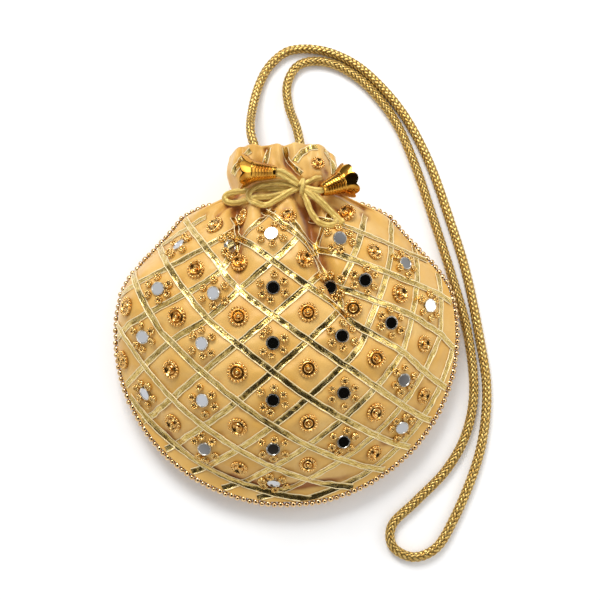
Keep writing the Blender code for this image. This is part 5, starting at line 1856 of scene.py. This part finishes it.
@dataclass(frozen=True)
class Studio:
    """Pale floor, soft lamps and the camera over the pouch.

    Attributes:
        fill: Strength of the even light.
        seen: What metal sees, from the walls (0) to the camera overhead (1).
        lamps: Name, place in metres, side in metres and watts of each lamp.
    """

    camera_place: tuple[float, float, float] = (0.0078, -0.0923, 0.6401)
    camera_target: tuple[float, float, float] = (0.0078, 0.0206, 0.0)
    focal_mm: float = 65.7
    sensor_mm: float = 36.0
    floor_half: float = 2500.0
    fill: float = 0.6
    seen: tuple[tuple[float, str], ...] = (
        (0.0, "6E6A64"), (0.22, "B9B6B0"), (0.45, "FFFFFF"), (0.66, "F4F2EE"), (0.79, "5A5148"),
        (0.88, "15120E"))
    lamps: tuple[tuple[str, tuple[float, float, float], float, float], ...] = (
        ("key_lamp", (-0.25, 0.80, 1.00), 0.6, 11.5), ("right_fill", (0.95, 0.10, 0.75), 0.6, 2.4))

    def set_down(self, name: str, data: bpy.types.ID, place: Sequence[float],
                 target: Sequence[float]) -> bpy.types.Object:
        """Put a camera or lamp in the scene so that it looks at a place.

        Args:
            name: Its name.
            data: Its data.
            place: Where it is, in metres.
            target: Where it looks.

        Returns:
            The object.
        """
        thing = bpy.data.objects.new(name, data)
        thing.location = place
        thing.rotation_euler = (Vector(target) - Vector(place)).to_track_quat("-Z", "Y").to_euler()
        bpy.context.scene.collection.objects.link(thing)
        return thing

    def camera(self) -> None:
        """Create the camera at the photograph's angle and make it the scene's."""
        data = bpy.data.cameras.new("studio_camera")
        data.sensor_fit = "HORIZONTAL"
        data.sensor_width = self.sensor_mm
        data.lens = self.focal_mm
        bpy.context.scene.camera = self.set_down("studio_camera", data, self.camera_place, self.camera_target)

    def lamp(self, name: str, place: Sequence[float], size: float, power: float) -> None:
        """Hang one square soft lamp that faces the pouch.

        Args:
            name: Its name.
            place: Where it hangs, in metres.
            size: Side of its square.
            power: Its power in watts.
        """
        data = bpy.data.lights.new(name, "AREA")
        data.shape = "SQUARE"
        data.size = size
        data.energy = power
        self.set_down(name, data, place, (0.0, 0.0, 0.02))

    def floor(self) -> None:
        """Lay the matt white paper that the camera sees as white."""
        half = self.floor_half
        corners = np.array([[-half, -half, 0.0], [half, -half, 0.0], [half, half, 0.0], [-half, half, 0.0]])
        paper = Finish("white_paper", ((0.3, "FDFDFD"), (0.7, "FFFFFF")), 0.9, metallic=0.0,
                       patch_mm=16.67, polish=(1.0, 1.0), others=(("Specular IOR Level", 0.1),))
        patch = Patch(corners, np.arange(4), np.array([4]), {})
        make_piece("studio_floor", patch, paper.material())

    def world(self) -> None:
        """Light the room softly; metal sees pale walls and the dark camera overhead."""
        world = bpy.data.worlds.new("soft_room")
        bpy.context.scene.world = world
        world.use_nodes = True
        tree = world.node_tree
        tree.nodes.clear()
        way = add_node(tree, "TexCoord", output="Generated")
        near = add_node(tree, "VectorMath", {0: way, 1: tuple(Vector(DARK_WAY).normalized())},
                        operation="DOT_PRODUCT", output="Value")
        seen = add_node(tree, "ValToRGB", {"Fac": near}, stops=self.seen)
        rays = add_node(tree, "LightPath").node.outputs
        plain, gloss, white = (add_node(tree, "Background", {"Color": colour, "Strength": strength})
                               for colour, strength in ((linear("FFFFFF"), self.fill), (seen, 1.0),
                                                        (linear("FFFFFF"), 1.0)))
        shiny = add_node(tree, "MixShader", {0: rays["Is Glossy Ray"], 1: plain, 2: gloss})
        clear = add_node(tree, "Math", {0: rays["Is Camera Ray"], 1: rays["Is Transmission Ray"]},
                         operation="MAXIMUM")
        final = add_node(tree, "MixShader", {0: clear, 1: shiny, 2: white})
        wire(tree, tree.nodes.new("ShaderNodeOutputWorld"), {"Surface": final})

    def build(self) -> None:
        """Build the whole studio."""
        self.camera()
        self.floor()
        self.world()
        for lamp in self.lamps:
            self.lamp(*lamp)
        bpy.context.scene.view_settings.view_transform = "Standard"


def main() -> None:
    """Build the dressed pouch in its studio."""
    logging.basicConfig(level=logging.INFO, format="%(name)s: %(message)s")
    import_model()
    Studio().build()
    finishes = Finishes()
    form = PouchForm()
    cloth = Cloth(form, Lattice())
    RopeHandle(finishes).build()
    Panels(cloth, finishes).build()
    Ribbons(cloth, finishes).build()
    Mirrors(cloth, finishes).build()
    Bosses(cloth, finishes).build()
    BeadEdging(form, finishes).build()
    Drawstring(cloth, finishes).build()
    Bell("bell_left", "left_bell", (-5.3, 82.5, 56.0), (-0.996, 0.06, -0.07), finishes).build()
    Bell("bell_right", "right_bell", (19.7, 72.9, 53.5), (0.796, 0.423, -0.433), finishes).build()


if __name__ == "__main__":
    main()
